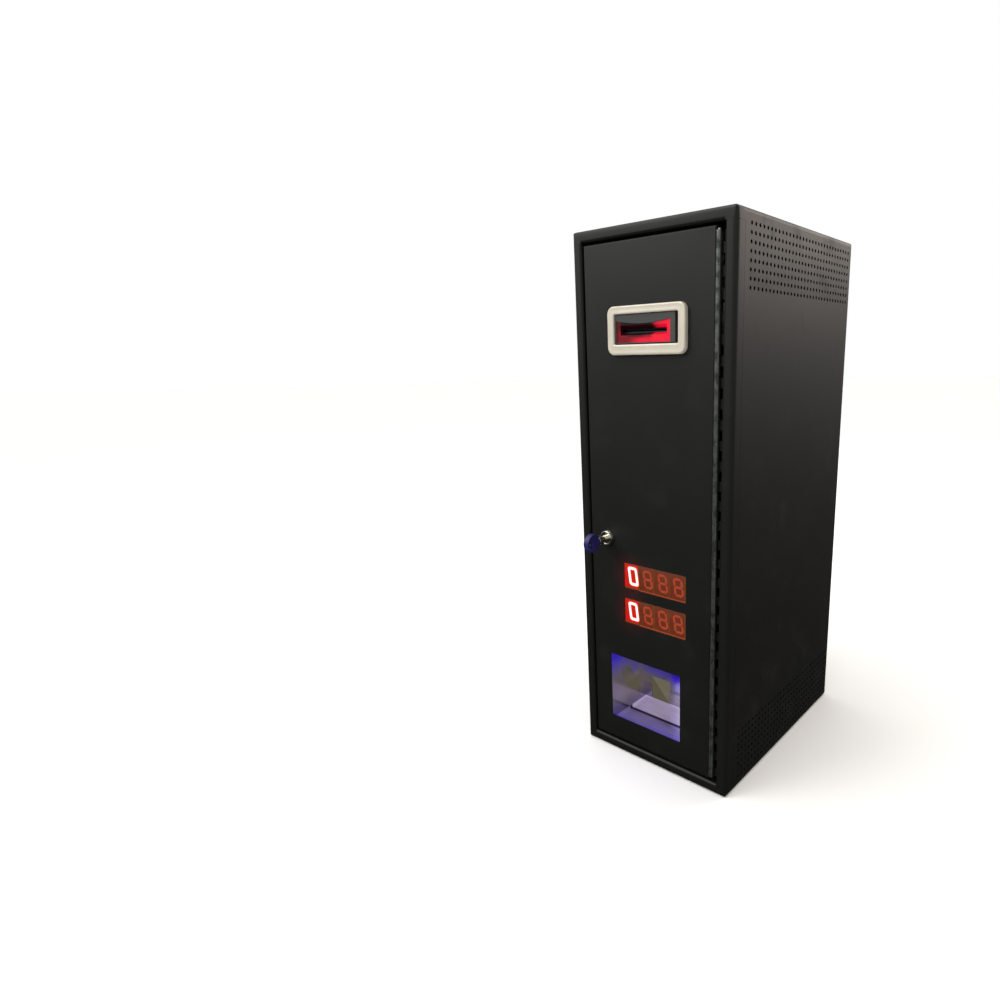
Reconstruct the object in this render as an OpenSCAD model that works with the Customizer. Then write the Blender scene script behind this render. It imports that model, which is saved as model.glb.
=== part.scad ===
// Floor or counter cabinet that takes a banknote through a lit mouth in its door, checks it,
// stacks it, and pays coins out of a hopper into a lit tray.
// X runs to the right, Y to the back, Z up. The origin is the middle of the underside.

/* [Cabinet] */
// Width over the side panels
cab_w = 200; // [196:1:300]
// Depth over the front frame and back panel
cab_d = 280; // [276:1:420]
// Height over the top panel
cab_h = 600; // [590:1:900]
// Sheet thickness of the cabinet
wall = 1.5; // [1.2:0.1:2]
// Outer bend radius of the cabinet's edges
corner_r = 5; // [3:0.5:6]
// Width of the frame round the door, seen from the front
frame_w = 12.5; // [11:0.5:16]
// Depth of the frame members
frame_d = 15; // [13:0.5:20]
// Depth of the lip that turns back round the door opening
lip_d = 10; // [8:0.5:11]
// Radius of the bend between the frame's face and its lip
lip_r = 3; // [1:0.5:3]
// Height of the skirts on the top, bottom and back panels
skirt = 8; // [7:0.5:9]

/* [Vent holes] */
// Diameter of a vent hole
vent_d = 3.8; // [2:0.1:5]
// Distance between vent holes, both ways
vent_pitch = 8; // [6:0.5:14]
// Rows in each field
vent_rows = 8; // [2:1:10]
// First column, behind the cabinet's front
vent_first = 26.5; // [22:0.5:60]
// Least distance of the last column from the cabinet's back
vent_last = 13; // [12:0.5:60]
// Lowest row of the lower field, above the floor
vent_low = 13; // [12:0.5:40]

/* [Door] */
// Sheet thickness of the door
door_t = 1.5; // [1.2:0.1:2]
// How far the door's face sits behind the frame's face
door_recess = 1.5; // [0.5:0.1:3]
// Gap between door and frame, lock side
gap_side = 2; // [1.8:0.1:3]
// Gap between door and frame, above and below
gap_ends = 2.5; // [1.5:0.1:4]
// Depth of the door's turned edges
door_flange = 12; // [10:0.5:12]
// Outer bend radius of the door's edges
door_r = 2; // [1:0.25:2]

/* [Hinge] */
// Knuckle radius
knuckle_r = 3; // [2.5:0.1:3]
// Hinge pin radius
hinge_pin_r = 1.2; // [1:0.1:1.4]
// Length of one knuckle and its gap
knuckle_pitch = 10; // [8:0.5:14]
// Gap between the knuckles and the frame's lip
hinge_gap = 3.5; // [3:0.1:5]
// Leaf thickness
leaf_t = 1.2; // [1:0.1:1.4]
// Distance of the hinge's ends from the ends of the door
hinge_inset = 5; // [3:1:30]

/* [Lock] */
// Lock axis from the door's left edge
lock_in = 24; // [23:0.5:30]
// Lock axis above the floor
lock_z = 269; // [262:0.5:300]
// Barrel radius
barrel_r = 8; // [6.6:0.1:9.6]
// Plug radius
plug_r = 6; // [5.5:0.1:6.5]
// Length of the cam from the lock's axis
cam_reach = 33; // [31:0.5:36]
// Outer radius of the tubular key
key_r = 4; // [3.5:0.1:4.2]
// Wall of the tubular key
key_wall = 1.4; // [1:0.1:1.5]
// Diameter of the key's head
key_head_d = 20.5; // [18:0.5:26]

/* [Banknote validator] */
// Middle of the bill path, from the cabinet's middle
bill_x = -5.6; // [-8:0.1:0]
// Middle of the mouth, below the cabinet's top
mouth_drop = 102; // [90:1:110]
// Bezel width
bezel_w = 98; // [96:1:110]
// Bezel height
bezel_h = 49; // [46:1:56]
// How far the bezel stands proud of the door
bezel_t = 5; // [4.5:0.1:7]
// Bezel corner radius
bezel_r = 8; // [5:0.5:12]
// Bezel opening width
bezel_open_w = 80.5; // [78:0.5:81]
// Bezel opening height
bezel_open_h = 30.3; // [29:0.1:32]
// Middle of the bezel, from the middle of the bill path
bezel_off = 4.1; // [0:0.1:4.1]
// Mouth shroud width
shroud_w = 80.4; // [78:0.1:81]
// Mouth shroud height
shroud_h = 28.6; // [27:0.1:29]
// Width of the mouth between the jambs
mouth_w = 68.4; // [64:0.1:69]
// Height of the banknote slot at its narrow end
slot_h = 3; // [2:0.1:4]
// Feed roller radius
roller_r = 8.2; // [6.8:0.1:8.4]
// Idler roller radius
idler_r = 5; // [4.5:0.1:5.2]
// Feed shaft radius
shaft_r = 2; // [1.5:0.1:2.2]
// Height of the bill stacker
stack_h = 175; // [160:1:178]

/* [Displays] */
// Display window width
disp_w = 83.7; // [80:0.1:86]
// Display window height
disp_h = 30; // [26:0.5:32]
// Middle of the displays, from the cabinet's middle
disp_x = 4.2; // [0:0.1:5]
// Middle of the lower display, above the floor
disp_z = 186.6; // [184:0.1:188]
// Distance between the two displays
disp_pitch = 42.3; // [38:0.1:43]

/* [Coin tray] */
// Window width
win_w = 100; // [90:1:104]
// Window height
win_h = 82; // [70:1:84]
// Middle of the window, from the cabinet's middle
win_x = -11; // [-13:0.5:-8]
// Lower edge of the window, above the floor
win_z = 44; // [42:0.5:50]
// Depth of the tray behind the door
tray_d = 67; // [50:0.1:68]
// Sheet thickness of the tray
tray_t = 1.2; // [0.8:0.1:1.5]

/* [Coin hopper] */
// Width of the coin bowl
bowl_w = 48; // [40:1:50]
// Width of the coloured middle plate
mid_w = 16; // [14:1:18]
// Width of the drive cover
cover_w = 46; // [42:1:46]
// Depth of the hopper, front to back
hop_d = 165; // [155:1:166]
// Height of the hopper
hop_h = 212; // [180:1:214]
// Radius of the coin disc
disc_r = 62; // [56:1:62]

/* [Hidden] */
$fn = 48;
eps = 0.01;

// Clearances
run_gap = 0.05;    // radial, a shaft in its bearing
slide_gap = 0.3;   // between bodies that pass each other
seat_gap = 0.2;    // a piece in its cut-out

// Cabinet planes
front_y = -cab_d / 2;
back_y = cab_d / 2;
side_x = cab_w / 2;
open_x = side_x - frame_w;
open_z0 = frame_w;
open_z1 = cab_h - frame_w;
frame_y1 = front_y + frame_d;
lip_y1 = front_y + lip_d;
inner_x = side_x - wall;
inner_back = back_y - wall;
vent_columns = 1 + floor((cab_d - vent_first - vent_last) / vent_pitch);

// Door planes
door_y0 = front_y + door_recess;
door_y1 = door_y0 + door_t;
flange_y1 = door_y0 + door_flange;
hinge_x = open_x - hinge_gap - knuckle_r;
hinge_y = door_y0;
door_x0 = -open_x + gap_side;
door_x1 = hinge_x - knuckle_r - slide_gap;
door_z0 = open_z0 + gap_ends;
door_z1 = open_z1 - gap_ends;
hinge_z0 = door_z0 + hinge_inset;
knuckles = 2 * floor((door_z1 - door_z0 - 2 * hinge_inset) / knuckle_pitch / 2);
hinge_z1 = hinge_z0 + knuckles * knuckle_pitch;

// Lock along its axis
lock_x = door_x0 + lock_in;
collar_r = barrel_r + 1.5;
nut_r = barrel_r + 4.5;   // over the corners of the hexagon
collar_t = 3.5;
plug_y0 = door_y0 - 3;
barrel_y1 = door_y0 + 14;
cam_t = 2;
cam_y0 = barrel_y1 + 0.2;
key_stub = 18;            // key shaft in front of the door
key_in = 5;               // key shaft behind the door's face
key_head_t = 7;

// Validator
mouth_z = cab_h - mouth_drop;
bezel_x = bill_x + bezel_off;
bezel_z = mouth_z - 1.2;
shroud_y0 = door_y0 - bezel_t + 2;
bracket_t = 1.5;
bracket_y1 = door_y1 + bracket_t;
head_y0 = door_y0 + 4.5;
head_y1 = head_y0 + 43;
head_w = 88;
head_x0 = bill_x - head_w / 2 + 3;
head_x1 = head_x0 + head_w;
deck_z = mouth_z - 2.5;
head_z0 = deck_z - 27.5;
path_gap = 1.5;
lid_z0 = deck_z + path_gap;
lid_z1 = lid_z0 + 30;
lid_side = 3;
feed_z = deck_z + 0.7 - roller_r;
feed_y = [head_y0 + 14, head_y0 + 34];
idler_z = deck_z + 0.7 + slide_gap + idler_r;
roller_x = [bill_x - 22, bill_x + 22];
roller_l = 12;
idler_pin_r = 1.5;
lid_hinge_y = head_y1 + 9;
lid_hinge_z = head_z0 + 6;
ear_t = 2.5;
belt_x = head_x0 - 6;
belt_w = 4;
pulley_r = 5;
belt_t = 1.2;

// Stacker
stack_z1 = head_z0 - 1;
stack_z0 = stack_z1 - stack_h;
stack_y0 = head_y0;
rail_y1 = stack_y0 + 40;
box_y0 = rail_y1 + slide_gap;
box_y1 = box_y0 + 47.5;
box_z0 = stack_z0 + 5;
box_hinge_y = box_y0 + 3;
box_hinge_z = box_z0 + 3;
box_wall = 2;
stub_r = 1.5;
rail_w = 17;
plate_t = 2;
push_y1 = rail_y1 - 2.5;
push_t = 2.5;
push_w = head_w - 2 * rail_w - 4;
push_h = stack_h - 30;
guide_r = 3;

// Displays
disp_z2 = disp_z + disp_pitch;
disp_depth = 8;
disp_y0 = door_y0 + 0.5;
pcb_t = 1.6;
board_y0 = disp_y0 + disp_depth;
board_margin = 5;

// Coin tray
tray_x0 = win_x - win_w / 2;
tray_x1 = win_x + win_w / 2;
tray_y1 = door_y1 + tray_d;
tray_floor = win_z - 9;
tray_top = win_z + win_h + 5;
tray_flange = 5;
ramp_y = door_y1 + 37;
ramp_rise = 2.5;
coin_x0 = tray_x0 + 10;
outlet_w = 28;
outlet_h = 31;
coin_x1 = coin_x0 + outlet_w;
coin_z0 = tray_floor + ramp_rise + 0.5;
coin_z1 = coin_z0 + outlet_h;
chute_t = 1.2;
chute_fall = 5;
chute_back_w = 24;
slide_z = 14;

// Hopper
hop_x0 = -60;
mid_x0 = hop_x0 + bowl_w;
mid_x1 = mid_x0 + mid_w;
cov_x1 = mid_x1 + cover_w;
hop_y0 = tray_y1 + 17;
hop_y1 = hop_y0 + hop_d;
base_z = 22;
base_t = 2;
hop_z0 = base_z + slide_gap;
hop_z1 = hop_z0 + hop_h;
hop_r = 8;
hop_wall = 2.5;
disc_y = hop_y0 + 84;
disc_z = hop_z0 + 82;
disc_t = 4;
disc_x0 = mid_x1 - 8;
gear_m = 1.5;
wheel_teeth = 48;
pinion_teeth = 12;
gear_t = 6;
gear_x0 = disc_x0 + disc_t + 2;
gear_back = 0.25;
centres = gear_m * (wheel_teeth + pinion_teeth) / 2;
pinion_z = disc_z - centres;
disc_shaft_r = 4;
exit_z0 = disc_z - 16;
exit_z1 = disc_z + 10;

// Power and control
inlet_x = side_x - 26;
inlet_z = 62;
inlet_w = 28;
inlet_h = 20.5;
switch_z = inlet_z + 34;
switch_w = 13;
switch_h = 19.5;
rocker_r = 7;
rocker_y = back_y - 1.5;   // where the rocker's pivot lies
switch_tilt = 10;
supply_w = 98;
supply_d = 36;
supply_h = 129;
supply_x0 = -inner_x + 6;
supply_z0 = cab_h - 190;
board_y = [front_y + 120, front_y + 230];
board_z = [cab_h - 270, cab_h - 150];
spacer_l = 8;
spacer_r = 3;

// Mount holes
floor_hole_r = 4.25;
floor_dx = 80;
floor_dy = cab_d / 2 - 32;
wall_hole_r = 3.5;
wall_dx = 60;
wall_z = [130, cab_h - 50];

// Mounting plate of the bill head
bracket_x = bill_x + 3;
bracket_w = 116;
bracket_h = 62;
stud_dx = 54;
stud_dz = 24;
stud_hole_r = 2.2;
bracket_studs = [for (sx = [-1, 1], sz = [-1, 1]) [bracket_x + sx * stud_dx, mouth_z + sz * stud_dz]];

// ---------- helpers ----------
module span(x, y, z) translate([x[0], y[0], z[0]])
    cube([x[1] - x[0], y[1] - y[0], z[1] - z[0]]);

module rrect(w, h, r) {
    square([w - 2 * r, h], center = true);
    square([w, h - 2 * r], center = true);
    for (sx = [-1, 1], sy = [-1, 1])
        translate([sx * (w / 2 - r), sy * (h / 2 - r)]) circle(r);
}

// Profile in X and Z, pushed along Y
module along_y(y0, y1) translate([0, y1, 0]) rotate([90, 0, 0]) linear_extrude(y1 - y0) children();

// Profile in Y and Z, pushed along X
module along_x(x0, x1) translate([x0, 0, 0]) rotate([90, 0, 90]) linear_extrude(x1 - x0) children();

module rod_x(x0, x1, y, z, r) translate([x0, y, z]) rotate([0, 90, 0]) cylinder(r = r, h = x1 - x0);
module rod_y(y0, y1, x, z, r) translate([x, y0, z]) rotate([-90, 0, 0]) cylinder(r = r, h = y1 - y0);

// What a bend of radius r takes off an edge along X whose corner is at y, z
module round_x(x0, x1, y, z, sy, sz, r) difference() {
    span([x0, x1], [min(y - sy, y + sy * r), max(y - sy, y + sy * r)],
        [min(z - sz, z + sz * r), max(z - sz, z + sz * r)]);
    rod_x(x0 - 1, x1 + 1, y + sy * r, z + sz * r, r);
}

// The same for an edge along Z whose corner is at x, y
module round_z(z0, z1, x, y, sx, sy, r) difference() {
    span([min(x - sx, x + sx * r), max(x - sx, x + sx * r)],
        [min(y - sy, y + sy * r), max(y - sy, y + sy * r)], [z0, z1]);
    translate([x + sx * r, y + sy * r, z0 - 1]) cylinder(r = r, h = z1 - z0 + 2);
}

// ---------- cabinet ----------
module block(inset) {
    r = corner_r - inset;
    intersection() {
        along_y(front_y + inset, back_y - inset)
            translate([0, cab_h / 2]) rrect(cab_w - 2 * inset, cab_h - 2 * inset, r);
        along_x(-side_x + inset, side_x - inset)
            translate([0, cab_h / 2]) rrect(cab_d - 2 * inset, cab_h - 2 * inset, r);
        translate([0, 0, inset]) linear_extrude(cab_h - 2 * inset)
            rrect(cab_w - 2 * inset, cab_d - 2 * inset, r);
    }
}

module shell() difference() {
    block(0);
    block(wall);
}

module side_panel(x0) color("#1b1c1e") along_x(x0, x0 + wall) difference() {
    translate([frame_y1, skirt]) square([back_y - skirt - frame_y1, cab_h - 2 * skirt]);
    for (i = [0 : vent_columns - 1], j = [0 : vent_rows - 1]) {
        y = front_y + vent_first + i * vent_pitch;
        translate([y, vent_low + j * vent_pitch]) circle(d = vent_d, $fn = 16);
        translate([y, cab_h - vent_low - j * vent_pitch]) circle(d = vent_d, $fn = 16);
    }
}

module top_panel() color("#1b1c1e") intersection() {
    shell();
    span([-side_x, side_x], [frame_y1, back_y - skirt], [cab_h - skirt, cab_h]);
}

module bottom_panel() color("#1b1c1e") difference() {
    intersection() {
        shell();
        span([-side_x, side_x], [frame_y1, back_y - skirt], [0, skirt]);
    }
    for (sx = [-1, 1], sy = [-1, 1])
        translate([sx * floor_dx, sy * floor_dy, -1]) cylinder(r = floor_hole_r, h = wall + 2);
}

module back_panel() color("#1b1c1e") difference() {
    intersection() {
        shell();
        span([-side_x, side_x], [back_y - skirt, back_y], [0, cab_h]);
    }
    for (sx = [-1, 1], z = wall_z)
        rod_y(inner_back - 1, back_y + 1, sx * wall_dx, z, wall_hole_r);
    span([inlet_x - inlet_w / 2, inlet_x + inlet_w / 2], [inner_back - 1, back_y + 1],
        [inlet_z - inlet_h / 2, inlet_z + inlet_h / 2]);
    span([inlet_x - switch_w / 2, inlet_x + switch_w / 2], [inner_back - 1, back_y + 1],
        [switch_z - switch_h / 2, switch_z + switch_h / 2]);
}

module stile(side) color("#1b1c1e") difference() {
    union() {
        intersection() {
            shell();
            span(side > 0 ? [open_x, side_x] : [-side_x, -open_x], [front_y, frame_y1],
                [open_z0, open_z1]);
        }
        span(side > 0 ? [open_x, open_x + wall] : [-open_x - wall, -open_x], [front_y, lip_y1],
            [open_z0, open_z1]);
    }
    round_z(open_z0 - 1, open_z1 + 1, side * open_x, front_y, side, 1, lip_r);
}

module rail(top) {
    edge = top ? open_z1 : open_z0;
    up = top ? 1 : -1;
    color("#1b1c1e") difference() {
        union() {
            intersection() {
                shell();
                span([-side_x, side_x], [front_y, frame_y1], top ? [edge, cab_h] : [0, edge]);
            }
            span([-open_x - wall, open_x + wall], [front_y, lip_y1],
                top ? [edge, edge + wall] : [edge - wall, edge]);
        }
        round_x(-open_x, open_x, front_y, edge, 1, up, lip_r);
    }
}

// ---------- hinge ----------
module knuckle_set(first) for (i = [first : 2 : knuckles - 1])
    translate([hinge_x, hinge_y, hinge_z0 + i * knuckle_pitch + slide_gap / 2])
        cylinder(r = knuckle_r, h = knuckle_pitch - slide_gap);

module hinge_bore() translate([hinge_x, hinge_y, hinge_z0 - 1])
    cylinder(r = hinge_pin_r + run_gap, h = hinge_z1 - hinge_z0 + 2);

module hinge_frame_leaf() {
    x1 = open_x - eps;
    web_y = hinge_y + knuckle_r - leaf_t;
    color("#2a2b2d") difference() {
        union() {
            knuckle_set(0);
            span([x1 - leaf_t, x1], [web_y, lip_y1 - 0.5], [hinge_z0, hinge_z1]);
            for (i = [0 : 2 : knuckles - 1])
                span([hinge_x, x1], [web_y, web_y + leaf_t],
                    [hinge_z0 + i * knuckle_pitch + slide_gap / 2,
                     hinge_z0 + (i + 1) * knuckle_pitch - slide_gap / 2]);
        }
        hinge_bore();
    }
}

module hinge_door_leaf() {
    x0 = door_x1;
    color("#2a2b2d") difference() {
        union() {
            knuckle_set(1);
            span([x0, x0 + leaf_t], [hinge_y + door_r, flange_y1 - 0.5], [hinge_z0, hinge_z1]);
            for (i = [1 : 2 : knuckles - 1])
                span([x0, hinge_x - hinge_pin_r - 0.4], [hinge_y, hinge_y + door_r + 0.5],
                    [hinge_z0 + i * knuckle_pitch + slide_gap / 2,
                     hinge_z0 + (i + 1) * knuckle_pitch - slide_gap / 2]);
        }
        hinge_bore();
        for (i = [0 : 2 : knuckles - 1])
            translate([hinge_x, hinge_y, hinge_z0 + i * knuckle_pitch - slide_gap / 3])
                cylinder(r = knuckle_r + slide_gap, h = knuckle_pitch + slide_gap * 2 / 3);
    }
}

module hinge_pin() color("silver") translate([hinge_x, hinge_y, hinge_z0 - 1.5])
    cylinder(r = hinge_pin_r, h = hinge_z1 - hinge_z0 + 3);

// ---------- door ----------
module door_panel() color("#1d1e20") difference() {
    span([door_x0, door_x1], [door_y0, flange_y1], [door_z0, door_z1]);
    span([door_x0 + door_t, door_x1 - door_t], [door_y1, flange_y1 + 1],
        [door_z0 + door_t, door_z1 - door_t]);
    for (e = [[door_x0, 1], [door_x1, -1]])
        round_z(door_z0 - 1, door_z1 + 1, e[0], door_y0, e[1], 1, door_r);
    for (e = [[door_z0, 1], [door_z1, -1]])
        round_x(door_x0 - 1, door_x1 + 1, door_y0, e[0], 1, e[1], door_r);
    along_y(door_y0 - 1, door_y1 + 1) {
        translate([bill_x, mouth_z]) square([shroud_w + 2, shroud_h + 2], center = true);
        for (z = [disp_z, disp_z2])
            translate([disp_x, z]) square([disp_w, disp_h] + [1, 1] * 2 * seat_gap, center = true);
        translate([win_x, win_z + win_h / 2]) rrect(win_w, win_h, 1.5);
        translate([lock_x, lock_z]) circle(barrel_r + seat_gap);
    }
}

// ---------- lock and key ----------
module lock_barrel() color("#d5d7da") difference() {
    union() {
        rod_y(door_y0, barrel_y1, lock_x, lock_z, barrel_r);
        translate([lock_x, door_y0, lock_z]) rotate([90, 0, 0])
            cylinder(r1 = collar_r, r2 = collar_r - 1.2, h = collar_t);
    }
    rod_y(door_y0 - collar_t - 1, barrel_y1 + 1, lock_x, lock_z, plug_r + run_gap);
}

module lock_nut() color("#c9ccd0") difference() {
    translate([lock_x, door_y1, lock_z]) rotate([-90, 0, 0]) cylinder(r = nut_r, h = 3, $fn = 6);
    rod_y(door_y1 - 1, door_y1 + 4, lock_x, lock_z, barrel_r + 0.02);
}

module lock_plug() color("#b9bcc0") difference() {
    union() {
        rod_y(plug_y0, cam_y0, lock_x, lock_z, plug_r);
        span([lock_x - 3.5, lock_x + 3.5], [cam_y0 - eps, cam_y0 + cam_t], [lock_z - 3.5, lock_z + 3.5]);
        rod_y(cam_y0 + cam_t, cam_y0 + cam_t + 1.6, lock_x, lock_z, 4.6);
    }
    difference() {
        rod_y(plug_y0 - 1, door_y0 + key_in + 0.5, lock_x, lock_z, key_r + run_gap);
        rod_y(plug_y0 - 2, door_y0 + key_in + 2, lock_x, lock_z, key_r - key_wall - run_gap);
    }
}

module lock_cam() color("#c9ccd0") along_y(cam_y0, cam_y0 + cam_t) translate([lock_x, lock_z])
    difference() {
        union() {
            circle(8);
            translate([-6.5, -cam_reach + 3]) square([13, cam_reach - 3]);
            translate([-3.5, -cam_reach]) square([7, 4]);
            for (s = [-1, 1]) translate([s * 3.5, -cam_reach + 3]) circle(3);
        }
        square(7 + 0.04, center = true);
    }

module key_shaft() color("#d5d7da") difference() {
    union() {
        rod_y(door_y0 - key_stub, door_y0 + key_in, lock_x, lock_z, key_r);
        rod_y(door_y0 - key_stub, door_y0 - key_stub + 6, lock_x, lock_z, key_r + 1.5);
    }
    rod_y(door_y0 - key_stub + 3, door_y0 + key_in + 1, lock_x, lock_z, key_r - key_wall);
}

module key_head() {
    y = door_y0 - key_stub - key_head_d / 2 + 1.5;
    color("#1c1b55") difference() {
        union() {
            rod_x(lock_x - key_head_t / 2, lock_x + key_head_t / 2, y, lock_z, key_head_d / 2);
            span([lock_x - key_head_t / 2, lock_x + key_head_t / 2],
                [y, door_y0 - key_stub], [lock_z - 7, lock_z + 7]);
        }
        rod_x(lock_x - key_head_t, lock_x + key_head_t, y - key_head_d / 4, lock_z, 2.5);
        span([lock_x - key_head_t, lock_x + key_head_t], [door_y0 - key_stub, door_y0],
            [lock_z - 20, lock_z + 20]);
    }
}

// ---------- mouth ----------
module mouth_bezel() color("#cfcabb") difference() {
    hull() {
        along_y(door_y0 - 2, door_y0) translate([bezel_x, bezel_z]) rrect(bezel_w, bezel_h, bezel_r);
        along_y(door_y0 - bezel_t, door_y0 - bezel_t + 0.1) translate([bezel_x, bezel_z])
            rrect(bezel_w - 4, bezel_h - 4, bezel_r - 2);
    }
    along_y(door_y0 - bezel_t + 1.6, door_y0 + 1) translate([bezel_x, bezel_z])
        rrect(bezel_w - 6, bezel_h - 6, bezel_r - 3);
    along_y(door_y0 - bezel_t - 1, door_y0) translate([bezel_x, bezel_z + 1.2])
        rrect(bezel_open_w, bezel_open_h, 1.5);
}

module visor_cut() {
    sag = 3.5;
    r = (pow(mouth_w / 2, 2) + sag * sag) / (2 * sag);
    translate([bill_x, mouth_z]) difference() {
        translate([-mouth_w / 2, 1 - shroud_h / 2]) square([mouth_w, shroud_h - 6]);
        translate([0, 5 + r]) circle(r, $fn = 180);
    }
}

module mouth_shroud() color("#33353a") along_y(shroud_y0, head_y0 - seat_gap) difference() {
    translate([bill_x, mouth_z]) square([shroud_w, shroud_h], center = true);
    visor_cut();
}

module mouth_lens() color("#e0122b") difference() {
    along_y(shroud_y0 + 1.5, head_y0 - seat_gap) intersection() {
        visor_cut();
        translate([bill_x, mouth_z]) square([mouth_w - 0.1, shroud_h], center = true);
    }
    hull() {
        span([bill_x - 29, bill_x + 29], [shroud_y0, shroud_y0 + 1], [deck_z - 4, deck_z + 6.5]);
        span([bill_x - 31, bill_x + 31], [head_y0, head_y0 + 1],
            [deck_z + path_gap / 2 - slot_h / 2, deck_z + path_gap / 2 + slot_h / 2]);
    }
}

module validator_bracket() color("#b9bcc0") difference() {
    along_y(door_y1, bracket_y1) difference() {
        translate([bracket_x, mouth_z]) rrect(bracket_w, bracket_h, 4);
        translate([bill_x, mouth_z]) square([shroud_w + 2, shroud_h + 2], center = true);
        for (p = bracket_studs) translate(p) circle(stud_hole_r);
    }
}

// ---------- validator head ----------
module validator_lower() {
    side = 2.5;
    color("#2b2d31") difference() {
        union() {
            span([head_x0, head_x1], [head_y0, head_y1], [head_z0, deck_z]);
            for (x = [head_x0, head_x1 - ear_t])
                span([x, x + ear_t], [head_y1 - 1, lid_hinge_y + 4], [head_z0, head_z0 + 11]);
            for (p = bracket_studs) if (p[1] < mouth_z)
                span([min(p[0] - 5, head_x0), max(p[0] + 5, head_x1)],
                    [bracket_y1, head_y0 + 2], [head_z0, head_z0 + 11]);
        }
        span([head_x0 + side, head_x1 - side], [head_y0 + side, head_y1 - side],
            [head_z0 - 1, deck_z - 3]);
        for (y = feed_y) {
            rod_x(head_x0 - 1, head_x1 + 1, y, feed_z, shaft_r + run_gap);
            for (x = roller_x)
                rod_x(x - roller_l / 2 - 1, x + roller_l / 2 + 1, y, feed_z, roller_r + 1);
        }
        rod_x(head_x0 - 1, head_x1 + 1, lid_hinge_y, lid_hinge_z, shaft_r + run_gap);
        for (p = bracket_studs) rod_y(bracket_y1 - 1, head_y0 + 3, p[0], p[1], stud_hole_r);
        round_x(head_x0 - 1, head_x1 + 1, head_y1, deck_z, -1, -1, 6);
    }
}

module validator_lid() {
    x0 = head_x0 + ear_t + slide_gap;
    x1 = head_x1 - ear_t - slide_gap;
    rear = head_y1 + path_gap;
    hood = 4;
    color("#3a3d42") difference() {
        union() {
            span([x0, x1], [head_y0 + 1, rear + hood], [lid_z0, lid_z1]);
            span([x0, x1], [rear, rear + hood], [lid_hinge_z + 3, lid_z0 + 1]);
            for (s = [0, 1]) {
                ex = s == 0 ? x0 : x1 - 4;
                span([ex, ex + 4], [rear, lid_hinge_y + 3.5], [lid_hinge_z + 2, lid_hinge_z + 14]);
                rod_x(ex, ex + 4, lid_hinge_y, lid_hinge_z, 3.5);
                rod_x(s == 0 ? x0 - slide_gap - 2 : ex, s == 0 ? x0 + 4 : x1 + slide_gap + 2,
                    lid_hinge_y, lid_hinge_z, shaft_r);
            }
        }
        span([x0 + lid_side, x1 - lid_side], [head_y0 + 1 + lid_side, rear + hood - lid_side],
            [lid_z0 + 12, lid_z1 + 1]);
        for (y = feed_y, x = roller_x)
            difference() {
                rod_x(x - roller_l / 2 - 1, x + roller_l / 2 + 1, y, idler_z, idler_r + 1);
                rod_x(x - roller_l, x + roller_l, y, idler_z, idler_pin_r);
            }
        round_x(x0 - 1, x1 + 1, head_y0 + 1, lid_z1, 1, -1, 4);
    }
}

module feed_rollers(y) color("#4a4a4a") for (x = roller_x) difference() {
    rod_x(x - roller_l / 2, x + roller_l / 2, y, feed_z, roller_r);
    rod_x(x - roller_l, x + roller_l, y, feed_z, shaft_r);
}

module feed_shaft(y) color("silver") union() {
    rod_x(belt_x - belt_w / 2 - 1, head_x1 + 2, y, feed_z, shaft_r);
    rod_x(belt_x - belt_w / 2, belt_x + belt_w / 2, y, feed_z, pulley_r);
    for (s = [-1, 1]) rod_x(belt_x + s * (belt_w / 2 + 0.5) - 0.5,
        belt_x + s * (belt_w / 2 + 0.5) + 0.5, y, feed_z, pulley_r + 1);
}

module idler_rollers(y) color("#8a8d92") for (x = roller_x) difference() {
    rod_x(x - roller_l / 2, x + roller_l / 2, y, idler_z, idler_r);
    rod_x(x - roller_l, x + roller_l, y, idler_z, idler_pin_r + run_gap);
}

module feed_belt() {
    r0 = pulley_r + 0.1;
    color("#202020") along_x(belt_x - belt_w / 2 + 0.3, belt_x + belt_w / 2 - 0.3) difference() {
        union() {
            for (y = feed_y) translate([y, feed_z]) circle(r0 + belt_t);
            translate([feed_y[0], feed_z - r0 - belt_t])
                square([feed_y[1] - feed_y[0], 2 * (r0 + belt_t)]);
        }
        for (y = feed_y) translate([y, feed_z]) circle(r0);
        translate([feed_y[0], feed_z - r0]) square([feed_y[1] - feed_y[0], 2 * r0]);
    }
}

module feed_motor() {
    x0 = head_x1 + 2.6;
    color("#9a9da1") union() {
        rod_x(x0, x0 + 26, feed_y[1] - 8, head_z0 + 12, 9.5);
        rod_x(x0 + 26, x0 + 29, feed_y[1] - 8, head_z0 + 12, 3);
        span([head_x1, x0 + 1], [feed_y[1] - 19, feed_y[1] - 8], [head_z0, head_z0 + 9]);
    }
}

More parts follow.
